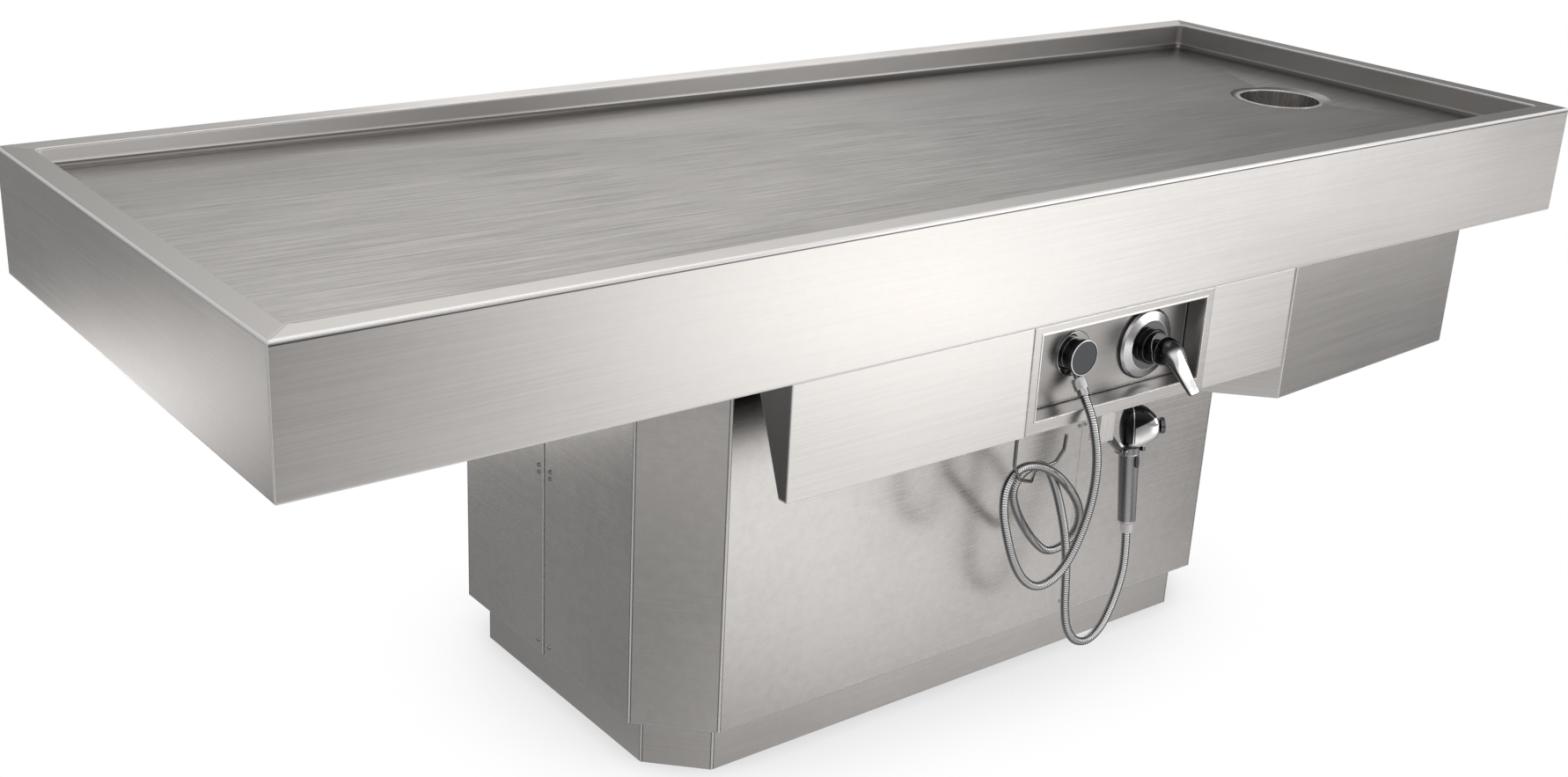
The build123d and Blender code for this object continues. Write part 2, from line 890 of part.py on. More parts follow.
def outlet_body():
    # base ring, barrel, spout, stem for the knob and tail behind the plate
    ring = faced(niche_back_y, outlet_ring, outlet_ring_depth, outlet_x, outlet_level)
    front_edges = ring.faces().sort_by(Axis.Y)[0].edges()
    ring = fillet(front_edges, outlet_ring_depth / 2)
    body = ring + faced(outlet_face, outlet_barrel, outlet_barrel_depth, outlet_x, outlet_level)
    body += faced(barrel_face, stem_radius, stem_length, outlet_x, outlet_level)
    body += faced(niche_back_y + outlet_tail_length, outlet_tail, outlet_tail_length, outlet_x, outlet_level)
    end = Vector(*hose_route[0])
    root = end - spout_direction() * (sleeve_length + hose_nut_length)
    body += bar(root, root - spout_direction() * spout_length, spout_radius)
    boss_y = niche_back_y + outlet_tail_length - outlet_tail
    boss = bar((outlet_x, boss_y, outlet_level), (outlet_x, boss_y, outlet_level + pipe_clip), outlet_tail)
    return body + boss


def outlet_knob_piece():
    # shut-off knob with a raised bezel round a sunk face
    back = barrel_face - rest_gap
    front = back - outlet_knob_depth
    knob = faced(back, outlet_knob, outlet_knob_depth, outlet_x, outlet_level)
    knob = fillet(knob.faces().sort_by(Axis.Y)[0].edges(), outlet_face_sink)
    knob -= faced(front + outlet_face_sink, outlet_knob - outlet_bezel, overrun, outlet_x, outlet_level)
    return knob - faced(back, stem_radius + stem_fit, stem_length, outlet_x, outlet_level)


def hose_nut():
    end = Vector(*hose_route[0])
    back = end - spout_direction() * sleeve_length
    frame = Plane(origin=back, x_dir=(1, 0, 0), z_dir=-spout_direction())
    nut = extrude(frame * RegularPolygon(hose_nut_across / 2, 6, major_radius=False), amount=hose_nut_length)
    round_form = extrude(frame * Circle(hose_nut_across / 2 * 1.08), amount=hose_nut_length)
    sleeve = extrude(frame * Circle(sleeve_radius), amount=-sleeve_length)
    return (nut & round_form) + sleeve


# Mixer

def mixer_plate():
    # stepped round wall plate, turned about the mixer's axis
    step = plate_rise - plate_edge
    outline = [
        (body_radius, 0), (plate_radius, 0), (plate_radius, plate_edge),
        (plate_radius - plate_rim, plate_edge + step / 2), (plate_step, plate_rise),
        (body_radius, plate_rise),
    ]
    plate = revolve(Plane.XZ * make_face(Polyline(*outline, close=True)), Axis.Z)
    rim = plate.edges().filter_by(GeomType.CIRCLE).sort_by(lambda edge: edge.radius)[-2:]
    plate = fillet(rim.sort_by(Axis.Z)[-1], plate_edge / 3)
    return Pos(mixer_x, niche_back_y, mixer_level) * Rot(90, 0, 0) * plate


def mixer_body():
    # concealed brass body with two side inlets and a top outlet
    back = niche_back_y + body_length
    body = bar((mixer_x, back, mixer_level), (mixer_x, niche_back_y, mixer_level), body_radius)
    y = pipe_axis_y
    body += bar((mixer_x - port_reach, y, mixer_level), (mixer_x + port_reach, y, mixer_level), port_radius)
    body += bar((mixer_x, y, mixer_level), (mixer_x, y, mixer_level + port_reach), port_radius)
    return body - bar((mixer_x, niche_back_y - overrun, mixer_level),
                      (mixer_x, niche_back_y + cartridge_length - plate_rise, mixer_level), cartridge_radius)


def mixer_cartridge():
    # cartridge in the body, with the post that the hub turns on
    back = niche_back_y + cartridge_length - plate_rise
    core = bar((mixer_x, back, mixer_level), (mixer_x, plate_face, mixer_level), cartridge_radius)
    front = sleeve_face - rest_gap - post_length
    return core + bar((mixer_x, plate_face, mixer_level), (mixer_x, front, mixer_level), post_radius)


def mixer_sleeve():
    ring = faced(plate_face, sleeve_mixer, sleeve_mixer_length, mixer_x, mixer_level)
    ring = fillet(ring.faces().sort_by(Axis.Y)[0].edges(), panel_bend)
    return ring - faced(plate_face + overrun, post_radius + 2 * pot_fit, 2 * sleeve_mixer_length + overrun,
                        mixer_x, mixer_level)


def mixer_hub():
    # turning hub: its top is cut back to let the lever tilt, with the pivot ball in front
    back = sleeve_face - rest_gap
    hub = faced(back, hub_radius, hub_length, mixer_x, mixer_level)
    slope = math.radians(lever_tilt + tilt_slack)
    rise = hub_radius + overrun
    cut = Polyline((hub_face, mixer_level), (hub_face - rise, mixer_level),
                   (hub_face - rise, mixer_level + rise),
                   (hub_face + rise * math.tan(slope), mixer_level + rise), close=True)
    hub -= Plane.YZ.offset(mixer_x) * extrude(
        Plane.XY * make_face(cut), amount=hub_radius + overrun, both=True)
    hub += ball(ball_radius, mixer_x, pivot_y, mixer_level)
    hub -= faced(back, post_radius + stem_fit, post_length + rest_gap, mixer_x, mixer_level)
    reach = hood_radius
    return hub - bar((mixer_x - reach, pivot_y, mixer_level), (mixer_x + reach, pivot_y, mixer_level),
                     pin_radius)


def lever_frame(share):
    # frame across the lever's arm at a share of its length, facing along the arm
    along = Vector(0, -lever_reach, -lever_drop)
    start = Vector(mixer_x, pivot_y, mixer_level)
    unit = along.normalized()
    root = start + unit * lever_root
    return Plane(origin=root + (along - unit * lever_root) * share, x_dir=(1, 0, 0), z_dir=unit)


def mixer_lever():
    # hood over the pivot ball, running out into a flat tapering paddle
    reach = 2 * hood_radius
    rear = hub_face - hood_back
    hood = ball(hood_radius, mixer_x, pivot_y, mixer_level)
    hood -= block((mixer_x - reach, mixer_x + reach), (rear, rear + reach),
                  (mixer_level - reach, mixer_level + reach))
    hood -= ball(ball_radius + hood_gap, mixer_x, pivot_y, mixer_level)
    hood -= bar((mixer_x - reach, pivot_y, mixer_level), (mixer_x + reach, pivot_y, mixer_level),
                pin_radius + stem_fit)
    sections = ((0, lever_root_width, lever_root_thick), (lever_mid_share, lever_mid_width, lever_mid_thick),
                (1, lever_tip_width, lever_tip_thick))
    arm = loft([lever_frame(share) * RectangleRounded(width, thick, thick / 3)
                for share, width, thick in sections], ruled=True)
    return hood + (arm - ball(hood_radius - hood_wall, mixer_x, pivot_y, mixer_level))


def lever_pin():
    half = hood_radius - pin_inset
    return bar((mixer_x - half, pivot_y, mixer_level), (mixer_x + half, pivot_y, mixer_level), pin_radius)


# Pipes

def supply_pipe(side):
    # from the floor up inside the pedestal, forward, and into the mixer's side
    x = mixer_x + side * pipe_spread
    path = FilletPolyline((x, pipe_row, 0), (x, pipe_row, mixer_level), (x, pipe_axis_y, mixer_level),
                          (mixer_x + side * port_reach, pipe_axis_y, mixer_level),
                          radius=(pipe_spread - port_reach) * 0.9)
    return tube(path, pipe_radius, pipe_radius - pipe_wall)


def mixed_pipe():
    # from the top of the mixer across to the tail of the outlet
    boss_y = niche_back_y + outlet_tail_length - outlet_tail
    top = mixer_level + port_reach + pipe_bend
    path = FilletPolyline((mixer_x, pipe_axis_y, mixer_level + port_reach), (mixer_x, pipe_axis_y, top),
                          (outlet_x, boss_y, top), (outlet_x, boss_y, outlet_level + pipe_clip),
                          radius=pipe_bend * 0.9)
    return tube(path, pipe_radius, pipe_radius - pipe_wall)


# Hand shower, drawn in a frame whose Z runs up its handle

def shower_handle():
    handle = loft([Circle(handle_foot_radius), Pos(0, 0, handle_length) * Circle(handle_top_radius)])
    handle = fillet(handle.edges().sort_by(Axis.Z)[0], handle_ease)
    pocket = button_bar(button_fit, button_depth + button_travel, overrun)
    return shower_frame * (handle - pocket)


def button_bar(grow, depth, rise):
    # rounded bar across the handle's front, from a depth inside it to a rise above it
    z = handle_length - button_drop - button_length / 2
    face = Plane(origin=(0, -handle_top_radius, z), x_dir=(1, 0, 0), z_dir=(0, -1, 0))
    slot = SlotOverall(button_length + 2 * grow, button_width + 2 * grow, rotation=90)
    return extrude(face.offset(-depth) * slot, amount=depth + rise)


def shower_button():
    button = button_bar(0, button_depth, button_proud)
    front = button.faces().sort_by(Axis.Y)[0]
    return shower_frame * fillet(front.edges(), button_proud / 3)


def head_frame():
    # frame of the head: X points to the nose, Z up the handle
    return shower_frame * Pos(0, 0, handle_length) * Rot(0, 0, head_turn)


def shower_head():
    # rounded head that leans out from the top of the handle to the spray face
    outline = Polyline((-head_back, 0), (-head_back, head_shoulder), (-head_crown_back, head_height),
                       (head_crown_front, head_height), (head_reach, head_nose + head_drop),
                       (head_reach, head_drop), (head_back, 0), close=True)
    side = fillet(make_face(outline).vertices().sort_by(Axis.Y)[3:], head_round)
    head = extrude(Plane.XZ * side, amount=head_width / 2, both=True)
    rims = head.edges().filter_by(lambda edge: abs(abs(edge.center().Y) - head_width / 2) < rest_gap
                                  and edge.center().Z > head_drop + rest_gap)
    head = fillet(rims, head_edge)
    return head_frame() * head


def spray_face():
    # nozzle plate on the nose with a ring of holes
    z = head_drop + head_nose / 2
    nose = Pos(head_reach, 0, z) * Rot(0, 90, 0)
    disc = nose * Pos(0, 0, spray_depth / 2) * Cylinder(spray_radius, spray_depth)
    disc = fillet(disc.edges().sort_by(Axis.X)[-1], spray_depth / 3)
    ring = PolarLocations(spray_ring, spray_count)
    disc -= nose * Pos(0, 0, spray_depth) * ring * Cylinder(spray_hole, spray_depth)
    knob = nose * Pos(0, 0, spray_depth + knob_side_length / 2) * Cylinder(knob_side_radius, knob_side_length)
    knob = fillet(knob.edges().sort_by(Axis.X)[-1], knob_side_radius / 3)
    return head_frame() * (disc + knob)


def shower_collar():
    collar = loft([Circle(collar_radius), Pos(0, 0, -collar_length) * Circle(collar_radius * 0.9)])
    return shower_frame * collar


def holder_fork():
    # chrome fork open to the front, joined by an arm to the bracket
    low = handle_length - rest_gap - fork_height
    bore = handle_top_radius + fork_fit
    outer = bore + fork_wall
    ring = Pos(0, 0, low) * extrude(Circle(outer), amount=fork_height)
    front = block((-outer, outer), (-fork_reach, 0), (low, low + fork_height))
    fork = ring + front
    fork -= Pos(0, 0, low - overrun) * extrude(Circle(bore), amount=fork_height + 2 * overrun)
    fork -= block((-bore, bore), (-2 * outer, 0), (low - overrun, low + fork_height + overrun))
    fork &= block((-outer, outer), (-fork_reach, outer), (low, low + fork_height))
    fork = shower_frame * fork
    centre = shower_frame.from_local_coords(Vector(-outer + fork_wall / 2, 0, low + fork_height / 2))
    foot = Vector(holder_x - holder_arm_depth, centre.Y, niche_level - holder_drop + holder_arm_height)
    arm_dir = (centre - foot).normalized()
    start = Plane(origin=foot, x_dir=(0, 1, 0), z_dir=arm_dir)
    end = Plane(origin=centre, x_dir=(0, 1, 0), z_dir=arm_dir)
    arm = loft([start * RectangleRounded(holder_arm_depth, holder_arm_height, fork_round),
                end * RectangleRounded(holder_arm_depth, fork_height * 0.8, fork_round)])
    clear = shower_frame * (Pos(0, 0, low - holder_drop) * extrude(Circle(bore), amount=2 * holder_drop))
    room = block((holder_x, shower_x), (centre.Y - holder_drop, centre.Y + holder_drop), (0, niche_level))
    return fork + ((arm & room) - clear)


def holder_bracket():
    # folded channel hung from the underside of the niche frame's return
    y = shower_frame.from_local_coords(Vector(0, 0, handle_length)).Y
    depth = holder_depth
    low = niche_level - holder_drop
    top = niche_level + service_inset
    channel = block((holder_x - holder_width, holder_x), (y - depth / 2, y + depth / 2), (low, top))
    channel -= block((holder_x - holder_width + panel_sheet, holder_x - panel_sheet),
                     (y - depth / 2 + panel_sheet, y + depth), (low - overrun, top - panel_sheet))
    return channel


# Hook and hose

def hose_hook():
    # bent rod under the housing, threading the hose loops from front to back
    x, y, z = hook_route[0]
    run = FilletPolyline((x, y, apron_level), *hook_route, radius=hook_bend)
    return sweep((run ^ 0) * Circle(hook_radius), path=run)


def hose():
    points = [Vector(*point) for point in hose_route]
    radii = []
    for before, here, after in zip(points, points[1:], points[2:]):
        turn = (here - before).get_angle(after - here)
        run = min((here - before).length, (after - here).length)
        radii.append(bend_share * run / math.tan(math.radians(turn) / 2))
    print("hose bend radii", [round(radius) for radius in radii])
    path = FilletPolyline(*hose_route, radius=radii)
    print("hose length", round(path.length))
    print("hose least gap to itself", round(least_gap(path), 2))
    solid = tube(path, hose_radius, hose_bore)
    section = math.pi * (hose_radius ** 2 - hose_bore ** 2)
    print("hose volume share", round(solid.volume / (section * path.length), 4))
    return solid


def least_gap(path):
    # smallest free distance between stretches of the hose that lie apart along it
    points = [path @ (i / gap_steps) for i in range(gap_steps + 1)]
    step = path.length / gap_steps
    apart = int(6 * hose_radius / step)
    gap = path.length
    for i in range(len(points)):
        for j in range(i + apart, len(points)):
            gap = min(gap, (points[i] - points[j]).length)
    return gap - 2 * hose_radius


def main():
    save("deck_pan", deck_pan())
    rim_pieces()
    save("drain_pot", drain_pot())
    save("waste_grid", waste_grid())
    save("waste_union", waste_union())
    trap, run = trap_and_waste()
    save("waste_trap", trap)
    save("waste_pipe", run)
    save("tray_bearers", group(bearer(share * half_length) for share in bearer_shares))
    save("frame_rail_front", rail(-1))
    save("frame_rail_back", rail(1))
    save("housing_hangers", group(hanger(x) for x in hanger_places))
    pedestal_covers()
    save("seam_strips", seam_strips())
    ring = plinth_ring()
    reach = pedestal_length
    for name, side in (("plinth_front", -1), ("plinth_back", 1)):
        low, high = sorted((side * seam / 2, side * pedestal_width))
        save(name, ring & block((-reach, reach), (low, high), (-overrun, plinth_height + overrun)))
    save("base_plate", base())
    save("pedestal_posts", group(post(sx, sy) for sx in (-1, 1) for sy in (-1, 1)))
    save("top_plate", top_plate_piece())
    save("cover_screws", group(screw(frame) for frame in cover_screw_frames() + seam_screw_frames()))
    save("drain_housing", drain_housing())
    save("drain_housing_floor", drain_housing_floor())
    apron_pieces()
    save("niche_frame", niche_frame())
    save("niche_tray", niche_tray())
    save("niche_back", niche_back())
    save("niche_screws", group(screw(frame) for frame in back_screw_frames()))
    save("service_cover", service_cover())
    save("outlet_body", outlet_body())
    save("outlet_knob", outlet_knob_piece())
    save("hose_nut", hose_nut())
    save("mixer_plate", mixer_plate())
    save("mixer_body", mixer_body())
    save("mixer_cartridge", mixer_cartridge())
    save("mixer_sleeve", mixer_sleeve())
    save("mixer_hub", mixer_hub())
    save("mixer_lever", mixer_lever())
    save("lever_pin", lever_pin())
    save("hot_pipe", supply_pipe(-1))
    save("cold_pipe", supply_pipe(1))
    save("mixed_pipe", mixed_pipe())
    save("shower_handle", shower_handle())
    save("shower_button", shower_button())
    save("shower_head", shower_head())
    save("spray_face", spray_face())
    save("shower_collar", shower_collar())
    save("holder_fork", holder_fork())
    save("holder_bracket", holder_bracket())
    save("hose_hook", hose_hook())
    save("shower_hose", hose())


main()
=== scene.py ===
import bpy
import math
from mathutils import Matrix, Vector


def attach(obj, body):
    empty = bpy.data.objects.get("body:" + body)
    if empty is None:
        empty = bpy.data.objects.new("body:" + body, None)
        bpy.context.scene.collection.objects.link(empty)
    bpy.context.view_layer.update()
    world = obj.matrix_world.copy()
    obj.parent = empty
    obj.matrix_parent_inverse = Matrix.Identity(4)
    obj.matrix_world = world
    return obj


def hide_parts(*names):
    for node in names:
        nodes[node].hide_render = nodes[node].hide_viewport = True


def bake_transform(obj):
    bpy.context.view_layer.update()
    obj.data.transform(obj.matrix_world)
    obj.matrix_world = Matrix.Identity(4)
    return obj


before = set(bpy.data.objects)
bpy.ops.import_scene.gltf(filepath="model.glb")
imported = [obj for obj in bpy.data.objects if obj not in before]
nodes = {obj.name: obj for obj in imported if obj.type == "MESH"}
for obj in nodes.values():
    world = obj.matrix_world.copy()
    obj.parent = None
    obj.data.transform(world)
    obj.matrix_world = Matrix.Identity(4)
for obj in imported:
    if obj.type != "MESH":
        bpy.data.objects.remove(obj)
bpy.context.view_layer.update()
print("frame loaded:", len(nodes), "nodes")


# Helpers for modelling

def deselectAll():
    if bpy.context.object and bpy.context.object.mode != "OBJECT":
        bpy.ops.object.mode_set(mode="OBJECT")
    bpy.ops.object.select_all(action="DESELECT")


def pick(piece):
    deselectAll()
    piece.select_set(True)
    bpy.context.view_layer.objects.active = piece


def newest(name):
    piece = bpy.context.object
    piece.name = name
    piece.data.name = name
    return piece


def settle(piece):
    # the place goes into the mesh, the object stays at the origin
    pick(piece)
    bpy.ops.object.transform_apply(location=True, rotation=True, scale=True)
    return piece


def smooth(piece, angle=35):
    pick(piece)
    bpy.ops.object.shade_smooth_by_angle(angle=math.radians(angle))
    return piece


def applyModifiers(piece):
    pick(piece)
    for modifier in list(piece.modifiers):
        bpy.ops.object.modifier_apply(modifier=modifier.name)
    return piece


# Camera

camera = {
    "place": (-2.0655, -2.3605, 1.6339),
    "heading": 38.61,      # degrees from +Y towards +X
    "down": 21.19,
    "roll": 2.956,
    "lens": 43.376,
}


def placeCamera(values):
    heading, down, roll = (math.radians(values[key]) for key in ("heading", "down", "roll"))
    ahead = Vector((math.sin(heading) * math.cos(down), math.cos(heading) * math.cos(down), -math.sin(down)))
    right = ahead.cross(Vector((0, 0, 1))).normalized()
    up = right.cross(ahead)
    turnedRight = right * math.cos(roll) + up * math.sin(roll)
    turnedUp = up * math.cos(roll) - right * math.sin(roll)
    bpy.ops.object.camera_add()
    eye = bpy.context.object
    eye.name = "viewCamera"
    axes = Matrix((turnedRight, turnedUp, -ahead)).transposed()
    eye.matrix_world = Matrix.Translation(values["place"]) @ axes.to_4x4()
    eye.data.sensor_width = 36
    eye.data.lens = values["lens"]
    eye.data.clip_start, eye.data.clip_end = 0.05, 100
    bpy.context.scene.camera = eye


placeCamera(camera)
print("camera placed")


# Hose

hose = {
    "radius": 0.0075,
    "groove": 0.0008,
    "grooveShare": 0.21,
    "pitch": 0.0037,
    "ringsPerTurn": 6,
    "sides": 16,
    "length": 1.798,
    "route": [
        (40.5, -481.5, 570), (40.5, -501.96, 542.85), (42, -513, 512), (46, -519, 475), (46, -521, 430),
        (40, -520, 383), (28, -516, 336), (13, -511, 297), (-9, -506, 270), (-41, -501, 261), (-70, -496, 279),
        (-92, -491, 316), (-106, -486, 361), (-112, -477, 405), (-100, -467, 441), (-70, -462, 463),
        (-30, -464, 460), (12, -464, 437), (48, -461, 405), (80, -454, 370), (104, -444, 337), (115, -434, 305),
        (111, -425, 279), (91, -417, 262), (65, -413, 262), (42, -412, 281), (14, -416, 310), (-16, -425, 344),
        (-42, -433, 380), (-56, -439, 411), (-47, -443, 437), (-23, -445, 450), (4, -446, 446), (22, -447, 425),
        (36, -450, 393), (46, -455, 358), (53, -462, 320), (58, -467, 275), (60, -470, 227), (63, -471, 180),
        (72, -472, 141), (94, -472, 111), (127, -472, 101), (157, -472, 117), (179, -471, 151), (195, -470, 193),
        (205, -467.1, 234.2), (205, -461.9, 283.5),
    ],
}


def hoseLine(values):
    # the hose's middle line as one smooth spline
    curve = bpy.data.curves.new("hoseLine", "CURVE")
    curve.dimensions = "3D"
    curve.resolution_u = 24
    spline = curve.splines.new("NURBS")
    spline.points.add(len(values["route"]) - 1)
    for point, place in zip(spline.points, values["route"]):
        point.co = (*(part / 1000 for part in place), 1)
    spline.order_u = 3
    spline.use_endpoint_u = True
    carrier = bpy.data.objects.new("hoseLine", curve)
    bpy.context.collection.objects.link(carrier)
    seen = carrier.evaluated_get(bpy.context.evaluated_depsgraph_get())
    mesh = bpy.data.meshes.new_from_object(seen)
    line = [vertex.co.copy() for vertex in mesh.vertices]
    bpy.data.objects.remove(carrier)
    bpy.data.meshes.remove(mesh)
    return line


def evenly(line, step):
    # points at even distances along a line
    spans = [(after - before).length for before, after in zip(line, line[1:])]
    total = sum(spans)
    count = max(2, round(total / step))
    points, index, passed = [], 0, 0.0
    for i in range(count + 1):
        target = total * i / count
        while index < len(spans) - 1 and passed + spans[index] < target:
            passed += spans[index]
            index += 1
        share = (target - passed) / spans[index] if spans[index] else 0
        points.append(line[index].lerp(line[index + 1], min(max(share, 0), 1)))
    return points, total


def ribbedTube(name, points, values):
    # a wound metal hose: its groove runs round in a spiral
    sides = values["sides"]
    step = (points[1] - points[0]).length
    ahead = (points[1] - points[0]).normalized()
    side = ahead.orthogonal().normalized()
    vertices, faces, heights = [], [], []
    for i, point in enumerate(points):
        ahead = (points[min(i + 1, len(points) - 1)] - points[max(i - 1, 0)]).normalized()
        side = (side - ahead * side.dot(ahead)).normalized()
        other = ahead.cross(side)
        for k in range(sides):
            angle = 2 * math.pi * k / sides
            phase = (i * step / values["pitch"] + k / sides) % 1
            dip = max(0.0, 1 - abs(phase - 0.5) / values["grooveShare"])
            heights.append(1 - dip)
            radius = values["radius"] - values["groove"] * dip
            vertices.append(point + (side * math.cos(angle) + other * math.sin(angle)) * radius)
    for i in range(len(points) - 1):
        for k in range(sides):
            j = (k + 1) % sides
            faces.append((i * sides + k, i * sides + j, (i + 1) * sides + j, (i + 1) * sides + k))
    faces.append(tuple(reversed(range(sides))))
    faces.append(tuple((len(points) - 1) * sides + k for k in range(sides)))
    mesh = bpy.data.meshes.new(name)
    mesh.from_pydata([tuple(vertex) for vertex in vertices], [], faces)
    mesh.update()
    mesh.attributes.new("ribHeight", "FLOAT", "POINT").data.foreach_set("value", heights)
    piece = bpy.data.objects.new(name, mesh)
    bpy.context.collection.objects.link(piece)
    for face in mesh.polygons:
        face.use_smooth = len(face.vertices) == 4
    return piece


line = hoseLine(hose)
hosePoints, hoseTotal = evenly(line, hose["pitch"] / hose["ringsPerTurn"])
woundHose = ribbedTube("woundHose", hosePoints, hose)
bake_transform(woundHose)
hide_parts("shower_hose")
[tuple(point) for point in hosePoints[::3]] + [tuple(hosePoints[-1])]
print("hose wound:", round(hoseTotal, 3), "m,", len(woundHose.data.polygons), "faces")


# Shower head

head = {
    "corners": [(-17, -4), (-18, 44), (-8, 73), (24, 73), (51, 47), (51, 15), (17, -4)],
    "rounded": (1, 2, 3, 4, 5),
    "round": 11,
    "roundSteps": 4,
    "depth": 37,
    "rings": [(-0.03, 0.30), (-0.005, 0.58), (0.07, 0.82), (0.22, 0.95), (0.5, 1.0), (0.78, 0.95), (0.93, 0.82),
              (1.005, 0.58), (1.03, 0.30)],
    "hub": (17, 36),
    "foot": (0.205, -0.460, 0.301),
    "handle": 0.133,
    "tilt": 6.05,
    "turn": -29.5,
}
tilt, turn = math.radians(head["tilt"]), math.radians(head["turn"])
upWay = Vector((0, math.sin(tilt), math.cos(tilt)))
acrossWay = Vector((0, math.cos(tilt), -math.sin(tilt)))
noseWay = Vector((1, 0, 0)) * math.cos(turn) + acrossWay * math.sin(turn)
sideWay = acrossWay * math.cos(turn) - Vector((1, 0, 0)) * math.sin(turn)
headMiddle = Vector(head["foot"]) + upWay * head["handle"]
head["noseWay"], head["upWay"], head["middle"] = tuple(noseWay), tuple(upWay), tuple(headMiddle)


def makeHead(values):
    # a rounded outline, drawn out ring by ring into a crowned shell
    corners = values["corners"]
    deselectAll()
    bpy.ops.mesh.primitive_circle_add(vertices=len(corners), radius=0.03, fill_type="NGON")
    piece = newest("showerHeadShell")
    for vertex, (out, up) in zip(piece.data.vertices, corners):
        vertex.co = (out / 1000, 0, up / 1000)
    bpy.ops.object.mode_set(mode="EDIT")
    bpy.ops.mesh.select_mode(type="VERT")
    bpy.ops.mesh.select_all(action="DESELECT")
    bpy.ops.object.mode_set(mode="OBJECT")
    for index in values["rounded"]:
        piece.data.vertices[index].select = True
    bpy.ops.object.mode_set(mode="EDIT")
    bpy.ops.mesh.bevel(offset=values["round"] / 1000, segments=values["roundSteps"], affect="VERTICES")
    bpy.ops.mesh.select_all(action="SELECT")
    hubOut, hubUp = (part / 1000 for part in values["hub"])
    depth = values["depth"] / 1000
    place, grown = values["rings"][0]
    bpy.ops.transform.translate(value=(0, (place - 0.5) * depth, 0))
    bpy.ops.transform.resize(value=(grown, 1, grown), center_override=(hubOut, 0, hubUp))
    for (before, was), (after, now) in zip(values["rings"], values["rings"][1:]):
        bpy.ops.mesh.extrude_region_move(TRANSFORM_OT_translate={"value": (0, (after - before) * depth, 0)})
        bpy.ops.transform.resize(value=(now / was, 1, now / was), center_override=(hubOut, 0, hubUp))
    bpy.ops.mesh.select_all(action="SELECT")
    bpy.ops.mesh.normals_make_consistent(inside=False)
    bpy.ops.object.mode_set(mode="OBJECT")
    axes = Matrix((noseWay, sideWay, upWay)).transposed()
    piece.matrix_world = Matrix.Translation(headMiddle) @ axes.to_4x4()
    settle(piece)
    rounding = piece.modifiers.new("rounding", "SUBSURF")
    rounding.levels = rounding.render_levels = 2
    applyModifiers(piece)
    bpy.ops.object.shade_smooth()
    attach(piece, "hand_shower")
    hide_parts("shower_head")
    return piece


showerHead = makeHead(head)
print("shower head shaped:", len(showerHead.data.polygons), "faces")


# Spray disc on the shower head's nose

spray = {
    "out": 0.0545,
    "up": 0.0336,
    "radius": 0.0140,
    "thick": 0.0077,
    "lip": 0.0022,
    "sunk": 0.0010,
    "edge": 0.0011,
    "jets": ((6, 0.0045), (12, 0.0092)),
    "jetRadius": 0.0007,
    "jetTaper": 0.6,
    "jetHeight": 0.0012,
}


def makeSpray(values):
    # turned disc with a raised lip and two rings of small jets
    deselectAll()
    bpy.ops.mesh.primitive_cylinder_add(vertices=48, radius=values["radius"], depth=values["thick"])
    piece = newest("sprayDisc")
    bpy.ops.object.mode_set(mode="EDIT")
    bpy.ops.mesh.select_mode(type="FACE")
    bpy.ops.mesh.select_all(action="DESELECT")
    bpy.ops.object.mode_set(mode="OBJECT")
    for face in piece.data.polygons:
        face.select = face.normal.z > 0.9
    bpy.ops.object.mode_set(mode="EDIT")
    bpy.ops.mesh.inset(thickness=values["lip"])
    bpy.ops.transform.translate(value=(0, 0, -values["sunk"]))
    bpy.ops.object.mode_set(mode="OBJECT")
    rounding = piece.modifiers.new("rounding", "BEVEL")
    rounding.width, rounding.segments, rounding.limit_method = values["edge"], 3, "ANGLE"
    applyModifiers(piece)
    floor = values["thick"] / 2 - values["sunk"]
    jets = []
    for count, ring in values["jets"]:
        for i in range(count):
            angle = 2 * math.pi * i / count
            deselectAll()
            bpy.ops.mesh.primitive_cone_add(
                vertices=10, radius1=values["jetRadius"], radius2=values["jetRadius"] * values["jetTaper"],
                depth=values["jetHeight"], location=(ring * math.cos(angle), ring * math.sin(angle), floor))
            jets.append(bpy.context.object)
    pick(piece)
    for jet in jets:
        jet.select_set(True)
    bpy.ops.object.join()
    axes = Matrix((upWay, sideWay, noseWay)).transposed()
    if axes.determinant() < 0:
        axes = Matrix((-upWay, sideWay, noseWay)).transposed()
    place = headMiddle + noseWay * values["out"] + upWay * values["up"]
    piece.matrix_world = Matrix.Translation(place) @ axes.to_4x4()
    settle(piece)
    smooth(piece)
    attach(piece, "hand_shower")
    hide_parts("spray_face")
    return piece


sprayDisc = makeSpray(spray)
print("spray disc turned:", len(sprayDisc.data.polygons), "faces")


# Mixer lever

lever = {
    "pivot": (0.208, -0.496, 0.617),
    "rear": -0.4903,
    "sections": [(0, 23.9, 23.9), (1.2, 24.8, 24.8), (7, 25.0, 25.0), (14, 24.4, 23.4), (21, 22.2, 19.6),
                 (29, 19.2, 14.6), (38, 16.6, 10.0), (50, 14.6, 6.8), (66, 12.8, 5.4), (82, 11.4, 4.7),
                 (89.5, 10.6, 4.3), (91.5, 8.6, 3.1)],
    "sides": 16,
    "straight": 0.005,
    "curve": 0.026,
    "bend": 48,
    "hollow": 0.0016,       # how far the paddle's middle dips
    "squareFrom": 0.020,
    "squareTo": 0.046,
    "squareness": 0.50,
    "turned": 7,            # degrees from straight down
}


